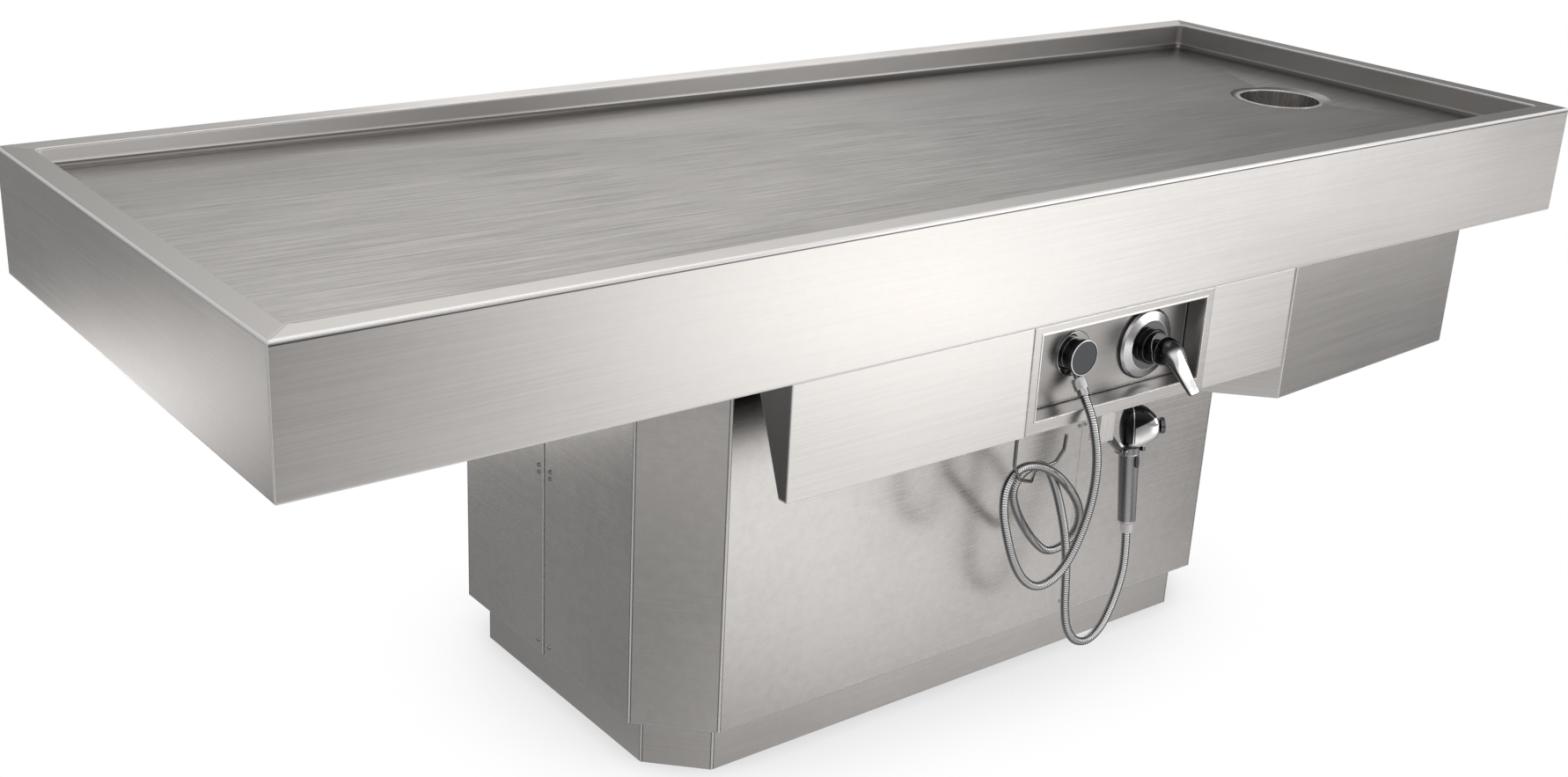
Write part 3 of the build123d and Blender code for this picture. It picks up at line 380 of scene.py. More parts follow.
def sectionAt(sections, along):
    # half width and half height of the lever at a distance from its rear
    for (before, wideA, highA), (after, wideB, highB) in zip(sections, sections[1:]):
        if along * 1000 <= after + 0.001:
            share = (along * 1000 - before) / (after - before)
            return (wideA + (wideB - wideA) * share) / 1000, (highA + (highB - highA) * share) / 1000
    return sections[-1][1] / 1000, sections[-1][2] / 1000


def makeLever(values):
    # a round hood drawn out into a paddle, then bent down over the pivot
    deselectAll()
    px, pz = values["pivot"][::2]
    wide, high = (part / 1000 for part in values["sections"][0][1:])
    bpy.ops.mesh.primitive_circle_add(vertices=values["sides"], radius=1, fill_type="NGON",
                                      rotation=(math.radians(90), 0, 0), location=(px, values["rear"], pz))
    piece = newest("leverShell")
    settle(piece)
    bpy.ops.object.mode_set(mode="EDIT")
    bpy.ops.mesh.select_all(action="SELECT")
    middle = (px, values["rear"], pz)
    bpy.ops.transform.resize(value=(wide, 1, high), center_override=middle)
    for before, after in zip(values["sections"], values["sections"][1:]):
        bpy.ops.mesh.extrude_region_move(TRANSFORM_OT_translate={"value": (0, (before[0] - after[0]) / 1000, 0)})
        grown = (after[1] / before[1], 1, after[2] / before[2])
        bpy.ops.transform.resize(value=grown, center_override=middle)
    bpy.ops.mesh.select_all(action="SELECT")
    bpy.ops.mesh.normals_make_consistent(inside=False)
    bpy.ops.object.mode_set(mode="OBJECT")
    total, radius = math.radians(values["bend"]), values["curve"] / math.radians(values["bend"])
    lean = math.radians(values["turned"])
    for vertex in piece.data.vertices:
        along = values["rear"] - vertex.co.y
        across, up = vertex.co.x - px, vertex.co.z - pz
        wide, high = sectionAt(values["sections"], along)
        square = min(max((along - values["squareFrom"]) / (values["squareTo"] - values["squareFrom"]), 0), 1)
        power = 1 - values["squareness"] * square
        across = math.copysign(abs(across / wide) ** power, across) * wide
        up = math.copysign(abs(up / high) ** power, up) * high
        if along > values["squareTo"] and up > 0:
            up -= values["hollow"] * (1 - (across / wide) ** 2)
        done = min(max((along - values["straight"]) / values["curve"], 0), 1)
        angle = total * done
        rest = max(0, along - values["straight"] - values["curve"])
        out = min(along, values["straight"]) + radius * math.sin(angle) + rest * math.cos(angle)
        drop = radius * (1 - math.cos(angle)) + rest * math.sin(angle)
        y = values["rear"] - out - up * math.sin(angle)
        z = pz - drop + up * math.cos(angle)
        x = px + across * math.cos(lean) - (z - pz) * math.sin(lean)
        z = pz + (z - pz) * math.cos(lean) + across * math.sin(lean)
        vertex.co = (x, y, z)
    rounding = piece.modifiers.new("rounding", "SUBSURF")
    rounding.levels = rounding.render_levels = 3
    applyModifiers(piece)
    bpy.ops.object.shade_smooth()
    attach(piece, "lever")
    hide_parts("mixer_lever")
    return piece


leverShell = makeLever(lever)
print("lever drawn:", len(leverShell.data.polygons), "faces")


# Bead round the niche

bead = {
    "left": -0.069,
    "right": 0.306,
    "low": 0.549,
    "high": 0.690,
    "front": -0.4855,
    "width": 0.0030,
    "proud": 0.0009,
    "round": 0.0004,
}


def makeBead(values):
    # folded lip along the opening's edge, standing a little proud of the bars
    deselectAll()
    across = values["right"] - values["left"]
    high = values["high"] - values["low"]
    bpy.ops.mesh.primitive_plane_add(size=1, rotation=(math.radians(90), 0, 0), location=(
        (values["left"] + values["right"]) / 2, values["front"], (values["low"] + values["high"]) / 2))
    piece = newest("nicheBead")
    bpy.ops.transform.resize(value=(across + 2 * values["width"], 1, high + 2 * values["width"]))
    settle(piece)
    bpy.ops.object.mode_set(mode="EDIT")
    bpy.ops.mesh.select_all(action="SELECT")
    bpy.ops.mesh.inset(thickness=values["width"])
    bpy.ops.mesh.delete(type="FACE")
    bpy.ops.object.mode_set(mode="OBJECT")
    wall = piece.modifiers.new("wall", "SOLIDIFY")
    wall.thickness, wall.offset = values["proud"] * 2, 0
    rounding = piece.modifiers.new("rounding", "BEVEL")
    rounding.width, rounding.segments = values["round"], 2
    applyModifiers(piece)
    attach(piece, "table")
    return piece


nicheBead = makeBead(bead)
print("niche bead folded")


# Shader sums

class Wire:
    # a socket in a material, which takes part in sums
    def __init__(self, finish, socket):
        self.finish, self.socket = finish, socket

    def sum(self, operation, other, swapped=False):
        first, second = (other, self) if swapped else (self, other)
        return self.finish.node("ShaderNodeMath", {"operation": operation}, {0: first, 1: second})

    def __add__(self, other):
        return self.sum("ADD", other)

    def __radd__(self, other):
        return self.sum("ADD", other, True)

    def __sub__(self, other):
        return self.sum("SUBTRACT", other)

    def __rsub__(self, other):
        return self.sum("SUBTRACT", other, True)

    def __mul__(self, other):
        return self.sum("MULTIPLY", other)

    def __rmul__(self, other):
        return self.sum("MULTIPLY", other, True)

    def __truediv__(self, other):
        return self.sum("DIVIDE", other)

    def root(self):
        return self.finish.node("ShaderNodeMath", {"operation": "SQRT"}, {0: self})

    def between(self, low, high, softness):
        # 1 inside a range, 0 outside, with soft ends
        return self.rise(low - softness, low + softness) * (1 - self.rise(high - softness, high + softness))

    def rise(self, low, high, start=0.0, end=1.0):
        return self.finish.node("ShaderNodeMapRange", {"clamp": True, "interpolation_type": "SMOOTHSTEP"},
                                {"Value": self, "From Min": low, "From Max": high, "To Min": start, "To Max": end})


masks = {
    "edge": (0.89, 0.998),      # how alike the turned and the flat normal are, from an edge to a flat
    "bend": (0.955, 0.998),
    "cloud": (0.3, 0.7),        # the range of a noise that is used
}


class Finish:
    # one material and the nodes in it
    def __init__(self, name, **sockets):
        self.material = bpy.data.materials.new(name)
        self.material.use_nodes = True
        self.tree = self.material.node_tree
        self.shader = self.tree.nodes["Principled BSDF"]
        self.place = self.node("ShaderNodeTexCoord", {}, {}, "Object")
        for socket, value in sockets.items():
            self.set(socket.replace("_", " "), value)

    def node(self, kind, settings, sockets, outlet=0):
        made = self.tree.nodes.new(kind)
        for key, value in settings.items():
            if key == "stops":
                while len(made.color_ramp.elements) < len(value):
                    made.color_ramp.elements.new(1)
                for element, (place, colour) in zip(made.color_ramp.elements, value):
                    element.position, element.color = place, colour
            else:
                setattr(made, key, value)
        for key, value in sockets.items():
            self.link(made.inputs[key], value)
        return Wire(self, made.outputs[outlet])

    def link(self, socket, value):
        if isinstance(value, Wire):
            self.tree.links.new(value.socket, socket)
        else:
            socket.default_value = value

    def set(self, socket, value):
        if isinstance(value, tuple) and len(value) == 3:
            value = (*value, 1)
        self.link(self.shader.inputs[socket], value)

    def axes(self):
        parts = self.tree.nodes.new("ShaderNodeSeparateXYZ")
        self.link(parts.inputs[0], self.place)
        return [Wire(self, outlet) for outlet in parts.outputs]

    def noise(self, scale, detail=3.0, stretch=(1, 1, 1), roughness=0.5, shift=(0, 0, 0)):
        at = self.node("ShaderNodeMapping", {}, {"Vector": self.place, "Scale": stretch, "Location": shift})
        return self.node("ShaderNodeTexNoise", {}, {"Vector": at, "Scale": scale, "Detail": detail,
                                                    "Roughness": roughness}, "Fac")

    def blend(self, factor, first, second):
        first, second = ((*c, 1) if isinstance(c, tuple) and len(c) == 3 else c for c in (first, second))
        return self.node("ShaderNodeMix", {"data_type": "RGBA"}, {0: factor, 6: first, 7: second}, 2)

    def bump(self, height, distance, strength=1.0, over=None):
        sockets = {"Height": height, "Distance": distance, "Strength": strength}
        if over:
            sockets["Normal"] = over
        self.set("Normal", self.node("ShaderNodeBump", {}, sockets, "Normal"))

    def edges(self, reach):
        # normals that run round the edges, and a mask that is 1 on them
        turned = self.node("ShaderNodeBevel", {"samples": 4}, {"Radius": reach}, "Normal")
        flat = self.node("ShaderNodeNewGeometry", {}, {}, "Normal")
        same = self.node("ShaderNodeVectorMath", {"operation": "DOT_PRODUCT"}, {0: turned, 1: flat}, "Value")
        return turned, 1 - same.rise(*masks["edge"])

    def bends(self, ways):
        # 1 on rolled bends, whose surface turns away from all the flats' directions
        nearest = 0.0
        for way in ways:
            toFlat = self.facing(way)
            nearest = self.node("ShaderNodeMath", {"operation": "MAXIMUM"}, {0: nearest, 1: toFlat * toFlat})
        return 1 - nearest.rise(*masks["bend"])

    def facing(self, way):
        # how far the surface faces a direction
        flat = self.node("ShaderNodeNewGeometry", {}, {}, "Normal")
        return self.node("ShaderNodeVectorMath", {"operation": "DOT_PRODUCT"}, {0: flat, 1: way}, "Value")

    def along(self, start, way):
        # distance from a point along a direction
        x, y, z = self.axes()
        offset = sum(a * b for a, b in zip(start, way))
        return x * way[0] + y * way[1] + z * way[2] - offset

    def offAxis(self, middle):
        # distance from a level axis that runs front to back
        x, z = self.axes()[::2]
        return ((x - middle[0]) * (x - middle[0]) + (z - middle[1]) * (z - middle[1])).root()


# Finishes

steel = {
    "colour": (0.85, 0.8265, 0.8095),
    "grainAcross": 900,
    "grainAlong": 5,
    "streakAcross": 330,
    "streakAlong": 3,
    "roughLow": 0.29,
    "roughHigh": 0.37,
    "bumpDepth": 0.00002,
    # painted highlight on edges and bends: its reach, tone, share, loss of metal and polish
    "edgeReach": 0.0030,
    "edgeHighlightTone": (1.0, 0.99, 0.98),
    "edgeMetal": 0.85,
    "gapTone": (0.06, 0.058, 0.055),
    "edgeBlend": 0.85,
    "edgePolish": 0.4,
    "flats": ((1, 0, 0), (0, 1, 0), (0, 0, 1)),
    "streakShift": (0.3, 0.7, 0.1),
    "streakBump": 0.5,
    "cloudScale": 4,
    "fineScale": 60,
    "shadeRange": (0.36, 0.64),
    "roughShares": (0.5, 0.3, 0.2),     # of the grain, the streaks and the cloud
}


def brushed(name, along, tone=1.0, rough=0.0, mottle=0.25, streak=0.5, contrast=0.06, lines=0.45, speckle=0.12,
            local=None, folded=False, values=steel):
    # brushed sheet whose grain runs along one axis or two, with a painted highlight along its edges; local adds
    # what one piece alone has
    finish = Finish(name)
    across, wide = [values["grainAcross"]] * 3, [values["streakAcross"]] * 3
    for axis in along:
        across[axis], wide[axis] = values["grainAlong"], values["streakAlong"]
    grain = finish.noise(1, 2, tuple(across))
    streaks = finish.noise(1, 3, tuple(wide), shift=values["streakShift"])
    cloud = finish.noise(values["cloudScale"], 4)
    fine = finish.noise(values["fineScale"], 4)
    total = lines + streak + mottle + speckle
    mixed = (grain * lines + streaks * streak + cloud * mottle + fine * speckle) / total
    dark = tuple(part * tone * (1 - contrast) for part in values["colour"])
    light = tuple(part * tone * (1 + contrast) for part in values["colour"])
    # painted highlight: the edges, and on folded sheets the rolled bends, are painted bright, less metallic and
    # less rough
    turned, edgeHighlight = finish.edges(values["edgeReach"])
    if folded:
        edgeHighlight = 1 - (1 - edgeHighlight) * (1 - finish.bends(values["flats"]))
    plain, matt = finish.blend(mixed.rise(*values["shadeRange"]), dark, light), 0.0
    if local:
        plain, matt = local(finish, plain)
    finish.set("Base Color", finish.blend(edgeHighlight * values["edgeBlend"], plain, values["edgeHighlightTone"]))
    finish.set("Metallic", (1 - edgeHighlight * values["edgeMetal"]) * (1 - matt))
    low, high = values["roughLow"] + rough, values["roughHigh"] + rough
    ofGrain, ofStreaks, ofCloud = values["roughShares"]
    spread = (grain * ofGrain + streaks * ofStreaks + cloud * ofCloud).rise(*masks["cloud"], low, high)
    finish.set("Roughness", spread * (1 - edgeHighlight * values["edgePolish"]))
    finish.bump(grain + streaks * values["streakBump"], values["bumpDepth"], over=turned)
    return finish.material


# What single sheets have beside their grain: painted light and shade, dark seams and a dark hairline

paintedLightAndSeams = {
    "wallLeft": -1.15,          # x range over which the pan's walls change tone
    "wallRight": -0.45,
    "wallBright": (0.97, 0.94, 0.92),
    "wallPlain": (0.40, 0.385, 0.375),
    "wallMatt": 0.5,
    "wallLevel": (0.2, 0.4),    # how far a wall and the cove at its foot face up
    "coveLevel": (0.35, 0.95, 0.03),
    "coveShade": (0.12, 0.115, 0.11),
    # fadeAlong, fadeAcross, fade and fadeShade set the painted shade on the pan's floor
    "fadeAlong": (-0.3, 1.0),   # where the floor darkens, towards the foot end and the back
    "fadeAcross": (0.05, 0.40),
    "fade": 0.34,
    "fadeShade": (0.05, 0.048, 0.046),
    "topLevel": (0.8, 0.95),    # how far a face points in the direction that is asked for
    "topShade": (0.40, 0.39, 0.38),
    "frontShade": (-1.2, 1.2, 0.7, 0.95),
    "backShade": (-1.0, -0.45, 0.85, 0.0),
    "rimMiddle": (-0.1, 0.1),
    "hairline": (0.10, 0.096, 0.092),
    "hairlineHeight": (0.8978, 0.8998, 0.0003),
    "hairlineFace": (-0.4870, -0.4865),
    "hairlineBlend": 0.9,
    "nicheBack": -0.4502,
    "nicheSoft": 0.0006,
    "apronEdge": (-0.5500, -0.5494),
    "lineMatt": 0.85,
    "cornerShade": (0.008, 0.007, 0.006),
    "cornerShadeHeight": (0.50, 0.645),
    "cornerShadeEnd": (-0.52, -0.34),
    "seam": 0.0020,
    "seamSoft": 0.0004,
    "seamTone": (0.012, 0.011, 0.010),
    "lip": 0.0028,
    "lipHighlightMatt": 0.8,
    "foldShade": (0.30, 0.29, 0.28),
    "foldBright": (0.0014, 0.0020),
    "foldDark": (0.0028, 0.0040),
    "foldMiddle": -0.015,
    "coverFolds": ((0.640, 0.2525), (0.540, 0.3525)),
    "plinthFolds": ((0.607, 0.2388), (0.5263, 0.3195)),
}


def foldLines(finish, plain, matt, folds, values=paintedLightAndSeams):
    # a painted highlight line with painted shade on its sides along each upright fold
    x, y = finish.axes()[:2]
    fromX = ((x - values["foldMiddle"]) * (x - values["foldMiddle"])).root()
    fromY = (y * y).root()
    for foldX, foldY in folds:
        far = ((fromX - foldX) * (fromX - foldX) + (fromY - foldY) * (fromY - foldY)).root()
        bright = 1 - far.rise(*values["foldBright"])
        plain = finish.blend(1 - far.rise(*values["foldDark"]), plain, values["foldShade"])
        plain = finish.blend(bright, plain, steel["edgeHighlightTone"])
        matt = 1 - (1 - matt) * (1 - bright * values["lineMatt"])
    return plain, matt


def plinthFoldLight(finish, plain, values=paintedLightAndSeams):
    return foldLines(finish, plain, 0.0, values["plinthFolds"])


def apronEdgeLight(finish, plain, values=paintedLightAndSeams):
    # a painted highlight line down the panel's free edge beside the end plate
    lip = 1 - finish.axes()[0].rise(*values["apronEdge"])
    return finish.blend(lip, plain, steel["edgeHighlightTone"]), lip * values["lineMatt"]


def panWalls(finish, plain, values=paintedLightAndSeams):
    # painted light and shade: the pan's walls are painted brighter towards the head end, the cove at their foot
    # gets painted shade, and the floor is painted darker towards the foot end and the back
    x, y = finish.axes()[:2]
    level = finish.facing((0, 0, 1))
    wall = 1 - level.rise(*values["wallLevel"])
    cove = level.between(*values["coveLevel"])
    fade = x.rise(*values["fadeAlong"], 0.0, values["fade"]) + y.rise(*values["fadeAcross"], 0.0, values["fade"])
    left = 1 - x.rise(values["wallLeft"], values["wallRight"])
    plain = finish.blend(fade, plain, values["fadeShade"])
    plain = finish.blend(wall, plain, finish.blend(left, values["wallPlain"], values["wallBright"]))
    return finish.blend(cove, plain, values["coveShade"]), wall * (left * 0.5 + 0.5) * values["wallMatt"]


def darkTop(finish, plain, values=paintedLightAndSeams):
    # painted shade: the level tops of the rims are painted darker than their outer faces
    return finish.blend(finish.facing((0, 0, 1)).rise(*values["topLevel"]), plain, values["topShade"]), 0.0


def longTops(finish, plain, values=paintedLightAndSeams):
    # painted shade: the front rim's top is painted darker all along, the back one's only near the head end,
    # and a dark hairline is painted under the front one
    x, y, z = finish.axes()
    front = 1 - y.rise(*values["rimMiddle"])
    shaded = front * x.rise(*values["frontShade"]) + (1 - front) * x.rise(*values["backShade"])
    plain = finish.blend(finish.facing((0, 0, 1)).rise(*values["topLevel"]) * shaded, plain, values["topShade"])
    hairline = z.between(*values["hairlineHeight"]) * (1 - y.rise(*values["hairlineFace"]))
    return finish.blend(hairline * values["hairlineBlend"], plain, values["hairline"]), 0.0


def nicheGap(finish, plain, values=paintedLightAndSeams):
    # the shadow gap round the niche's back plate
    behind = finish.axes()[1].rise(values["nicheBack"], values["nicheBack"] + values["nicheSoft"])
    return finish.blend(behind, plain, steel["gapTone"]), 0.0


def coverSeamsAndLight(finish, plain, values=paintedLightAndSeams):
    # the open seams of the covers, a painted highlight line beside each seam, painted shade in the corner behind
    # the apron's end plate, and the painted fold lines
    x, y, z = finish.axes()
    front = finish.facing((0, -1, 0)).rise(*values["topLevel"])
    corner = z.rise(*values["cornerShadeHeight"]) * (1 - x.rise(*values["cornerShadeEnd"]))
    half, soft = values["seam"], values["seamSoft"]
    seam = y.between(-half, half, soft)
    # lip is a painted highlight line beside the seam
    lip = y.between(half + soft, half + values["lip"], soft)
    plain = finish.blend(front * corner, plain, values["cornerShade"])
    plain = finish.blend(lip, plain, steel["edgeHighlightTone"])
    plain = finish.blend(seam, plain, values["seamTone"])
    return foldLines(finish, plain, lip * values["lipHighlightMatt"], values["coverFolds"])


plating = {
    "cloudScale": 90,
    "dim": 0.9,
    "edgeBlend": 0.85,
    "edgeHighlightTone": (0.97, 0.97, 0.98),
    "roughRange": (0.35, 0.7),
    "roughSpread": 0.05,
}


def polished(name, colour, rough=0.05, edge=0.0008, values=plating):
    # plated metal, with a painted highlight along its edges
    finish = Finish(name, Metallic=1.0)
    cloud = finish.noise(values["cloudScale"])
    turned, edgeHighlight = finish.edges(edge)
    plain = finish.blend(cloud.rise(*masks["cloud"]), tuple(part * values["dim"] for part in colour), colour)
    finish.set("Base Color", finish.blend(edgeHighlight * values["edgeBlend"], plain, values["edgeHighlightTone"]))
    finish.set("Roughness", cloud.rise(*values["roughRange"], rough, rough + values["roughSpread"]))
    finish.set("Normal", turned)
    return finish.material


plastic = {
    "scale": 300,
    "wideScale": 25,
    "shadeRange": (0.35, 0.65),
    "depth": 0.00003,
}


def moulded(name, dark, light, low, high, values=plastic):
    # moulded plastic with a faint cloud in its tone and surface
    finish = Finish(name)
    cloud = finish.noise(values["scale"])
    wide = finish.noise(values["wideScale"])
    finish.set("Base Color", finish.blend((cloud * 0.5 + wide * 0.5).rise(*values["shadeRange"]), dark, light))
    finish.set("Roughness", cloud.rise(*masks["cloud"], low, high))
    finish.bump(cloud, values["depth"])
    return finish.material


fittingTones = {
    "chrome": (0.62, 0.62, 0.635),
    # shadedChrome: chrome painted dark as a painted reflection of dark surroundings
    "shadedChrome": (0.16, 0.16, 0.165),
    # black: the outlet's barrel, and a painted dark reflection on the lever's hood and the head's crown
    "black": (0.035, 0.035, 0.037),
    "ring": (0.34, 0.335, 0.33),
    "satin": (0.66, 0.66, 0.68),
    "rim": (0.10, 0.10, 0.10),
    # line: bright tone of the painted highlight lines on edges and seams, and of the knob's bezel and the handle's
    # end rings
    "line": (0.95, 0.95, 0.96),
}

outlet = {
    "middle": (0.0405, 0.630),
    "ringFront": -0.4510,
    "barrel": 0.0274,
    "soft": 0.0004,
    "edge": 0.0008,
    "edgeBlend": 0.8,
    "roughScale": 120,
    "rough": (0.08, 0.14),
    "bezel": 0.0280,
    "bezelSoft": 0.0002,
    "bezelPolish": 0.6,
    "knobFront": (-0.4735, -0.4725),
    "knobFace": (0.055, 0.06, 0.066),
    "knobSpread": 1.25,
    "knobScale": 500,
    "knobRough": (0.28, 0.36),
    "knobBump": 0.00002,
    "knobSide": (0.02, 0.02, 0.022),
}


def outletFinish(values, tones):
    # black barrel on a plated base ring, with a plated spout, and a painted highlight along the edges
    finish = Finish("outletBody", Metallic=1.0)
    outside = finish.offAxis(values["middle"]).rise(values["barrel"], values["barrel"] + values["soft"])
    ring = finish.axes()[1].rise(values["ringFront"] - values["soft"], values["ringFront"])
    plated = 1 - (1 - outside) * (1 - ring)
    turned, edgeHighlight = finish.edges(values["edge"])
    plain = finish.blend(plated, tones["black"], tones["ring"])
    finish.set("Base Color", finish.blend(edgeHighlight * values["edgeBlend"], plain, tones["line"]))
    finish.set("Roughness", finish.noise(values["roughScale"]).rise(*masks["cloud"], *values["rough"]))
    finish.set("Normal", turned)
    return finish.material


def knobFinish(values, tones):
    # satin grey face in a thin bright bezel, black round the side
    finish = Finish("outletKnob")
    bezel = finish.offAxis(values["middle"]).rise(values["bezel"] - values["bezelSoft"],
                                                  values["bezel"] + values["bezelSoft"])
    front = 1 - finish.axes()[1].rise(*values["knobFront"])
    cloud = finish.noise(values["knobScale"])
    light = tuple(part * values["knobSpread"] for part in values["knobFace"])
    face = finish.blend(cloud.rise(*masks["cloud"]), values["knobFace"], light)
    side = finish.blend(front, values["knobSide"], tones["line"])
    finish.set("Base Color", finish.blend(bezel, face, side))
    finish.set("Metallic", bezel * front)
    finish.set("Roughness", cloud.rise(*masks["cloud"], *values["knobRough"]) * (1 - bezel * values["bezelPolish"]))
    finish.bump(cloud, values["knobBump"])
    return finish.material


mixer = {
    "middle": (0.208, 0.617),
    "rim": 0.0592,
    "rimSoft": 0.0003,
    "step": 0.0425,
    "stepSoft": 0.0006,
    "stepLine": (0.0008, 0.0002, 0.0003),
    "edge": 0.0008,
    "edgeBlend": 0.5,
    "roughScale": 200,
    "rough": (0.05, 0.09),
    "satinRough": 0.16,
    "hood": 0.0255,
    "hoodSoft": 0.003,
    "seam": -0.4925,
    "seamSoft": 0.0003,
    "paddleWay": (0, -0.743, 0.669),
    "paddleRange": (0.55, 0.8),
    "paddleTone": (0.88, 0.88, 0.9),
    "paddleScale": 150,
    "paddleRough": 0.1,
}


def plateFinish(values, tones):
    # polished step painted dark as a painted reflection, satin cone and a thin dark rim, with painted highlight
    # lines at the step and the edges
    finish = Finish("mixerPlate", Metallic=1.0)
    far = finish.offAxis(values["middle"])
    satin = far.rise(values["step"], values["step"] + values["stepSoft"])
    rim = far.rise(values["rim"] - values["rimSoft"], values["rim"] + values["rimSoft"])
    inside, outside, soft = values["stepLine"]
    line = far.between(values["step"] - inside, values["step"] + outside, soft)
    plain = finish.blend(satin, tones["shadedChrome"], tones["satin"])
    turned, edgeHighlight = finish.edges(values["edge"])
    lit = finish.blend(line, finish.blend(rim, plain, tones["rim"]), tones["line"])
    finish.set("Base Color", finish.blend(edgeHighlight * values["edgeBlend"], lit, tones["line"]))
    cloud = finish.noise(values["roughScale"]).rise(*masks["cloud"], *values["rough"])
    finish.set("Roughness", cloud + satin * values["satinRough"])
    finish.set("Normal", turned)
    return finish.material


def leverFinish(values, pivot, tones):
    # hood painted black as a painted dark reflection behind a painted highlight line at the seam, running out into
    # a paddle with a painted bright reflection on top and painted dark sides
    finish = Finish("mixerLever", Metallic=1.0)
    x, y, z = finish.axes()
    px, py, pz = pivot
    far = ((x - px) * (x - px) + (y - py) * (y - py) + (z - pz) * (z - pz)).root()
    paddle = far.rise(values["hood"], values["hood"] + values["hoodSoft"])
    bright = paddle * finish.facing(values["paddleWay"]).rise(*values["paddleRange"])
    seam = y.rise(values["seam"] - values["seamSoft"], values["seam"] + values["seamSoft"])
    plain = finish.blend(paddle, tones["black"], tones["shadedChrome"])
    lit = finish.blend(bright, plain, values["paddleTone"])
    finish.set("Base Color", finish.blend(seam, lit, tones["line"]))
    cloud = finish.noise(values["paddleScale"]).rise(*masks["cloud"], *values["rough"])
    finish.set("Roughness", cloud + bright * values["paddleRough"])
    return finish.material


handShower = {
    "foot": (-0.460, 0.301),
    "way": (0.105394, 0.994431),
    "rings": ((0.002, 0.0012), (0.121, 0.0010)),
    "ringSoft": 0.0003,
    # sideWay and litBands place the painted light and shade on the handle
    "sideWay": (0.87, -0.49, 0.05),
    "litBands": ((-0.45, 0.05, 0.12, 0.8), (0.45, 0.75, 0.1, 0.6)),
    "bandSpread": (0.85, 0.3),
    "scale": 400,
    "dark": (0.16, 0.16, 0.165),
    "light": (0.52, 0.52, 0.54),
    "metal": 0.6,
    "rough": (0.20, 0.28),
}


def handleFinish(values, tones):
    # satin grey lacquer with painted light and shade in straight bands along the handle, by which way its surface
    # faces, and a bright line at each end
    finish = Finish("showerHandle", Coat_Weight=0.6)
    y, z = finish.axes()[1:]
    along = (y - values["foot"][0]) * values["way"][0] + (z - values["foot"][1]) * values["way"][1]
    side = finish.facing(values["sideWay"])
    litBands, line = 0.0, 1.0
    for low, high, soft, share in values["litBands"]:
        litBands = side.between(low, high, soft) * share + litBands
    for place, wide in values["rings"]:
        line = (1 - along.between(place, place + wide, values["ringSoft"])) * line
    line = 1 - line
    cloud = finish.noise(values["scale"])
    level, spread = values["bandSpread"]
    plain = finish.blend(litBands * (level + cloud * spread), values["dark"], values["light"])
    finish.set("Base Color", finish.blend(line, plain, tones["line"]))
    finish.set("Metallic", values["metal"] + line * (1 - values["metal"]))
    finish.set("Roughness", cloud.rise(*masks["cloud"], *values["rough"]))
    return finish.material


# where the head's painted reflections lie
headReflections = {
    "capSlope": 0.42,
    "capTop": (0.033, 0.036),
    "capFoot": (0.002, 0.006),
    "capEdge": (0.003, 0.005),
    "capSheenTone": (0.96, 0.96, 0.97),
    "capRough": 0.06,
    "line": (0.0008, 0.0022, 0.0003),
    "neck": (0.004, 0.012),
    "scale": 150,
    "rough": (0.05, 0.08),
}


def headFinish(shape, values, tones):
    # painted dark reflection on the crown and neck, with a painted bright reflection on the side that a thin
    # painted highlight line frames
    finish = Finish("showerHead", Metallic=1.0)
    out = finish.along(shape["middle"], shape["noseWay"])
    up = finish.along(shape["middle"], shape["upWay"])
    level = up - out * values["capSlope"]
    capSheen = (1 - level.rise(*values["capTop"])) * level.rise(*values["capFoot"]) * out.rise(*values["capEdge"])
    line = out.between(*values["line"])
    low = finish.blend(level.rise(*values["neck"]), tones["satin"], tones["black"])
    plain = finish.blend(capSheen, low, values["capSheenTone"])
    finish.set("Base Color", finish.blend(line, plain, tones["line"]))
    cloud = finish.noise(values["scale"]).rise(*masks["cloud"], *values["rough"])
    finish.set("Roughness", cloud + capSheen * values["capRough"])
    return finish.material


def dress(material, *names):
    for name in names:
        piece = nodes[name]
        piece.data.materials.clear()
        piece.data.materials.append(material)


alongX, alongY, alongZ, allRound = (0,), (1,), (2,), (0, 1)
# the pan's floor gets a low tone as painted shade, and panWalls paints its walls' light and shade
dress(brushed("trayFloor", alongX, tone=0.43, streak=0.9, mottle=0.15, contrast=0.24, local=panWalls), "deck_pan")
dress(brushed("longRims", alongX, contrast=0.055, local=longTops, folded=True), "rim_front", "rim_back")
dress(brushed("crossRims", alongY, streak=0.3, mottle=0.4, contrast=0.08, local=darkTop, folded=True),
      "rim_head", "rim_foot")
dress(brushed("housingSheet", allRound, tone=0.78), "drain_housing", "drain_housing_floor")
dress(brushed("apronSheet", alongX, local=apronEdgeLight, folded=True), "apron_panel_left", "apron_panel_right",
      "apron_back_left", "apron_back_right", "service_cover")
# the niche's sheets get lower tones than the other sheets as painted shade, the niche lying in the fascia's shade
dress(brushed("nicheBars", alongX, tone=0.80, rough=-0.04), "niche_frame")
dress(brushed("nicheSheet", alongX, tone=0.5, local=nicheGap), "niche_tray")
dress(brushed("nicheBackSheet", alongX, tone=0.52), "niche_back")
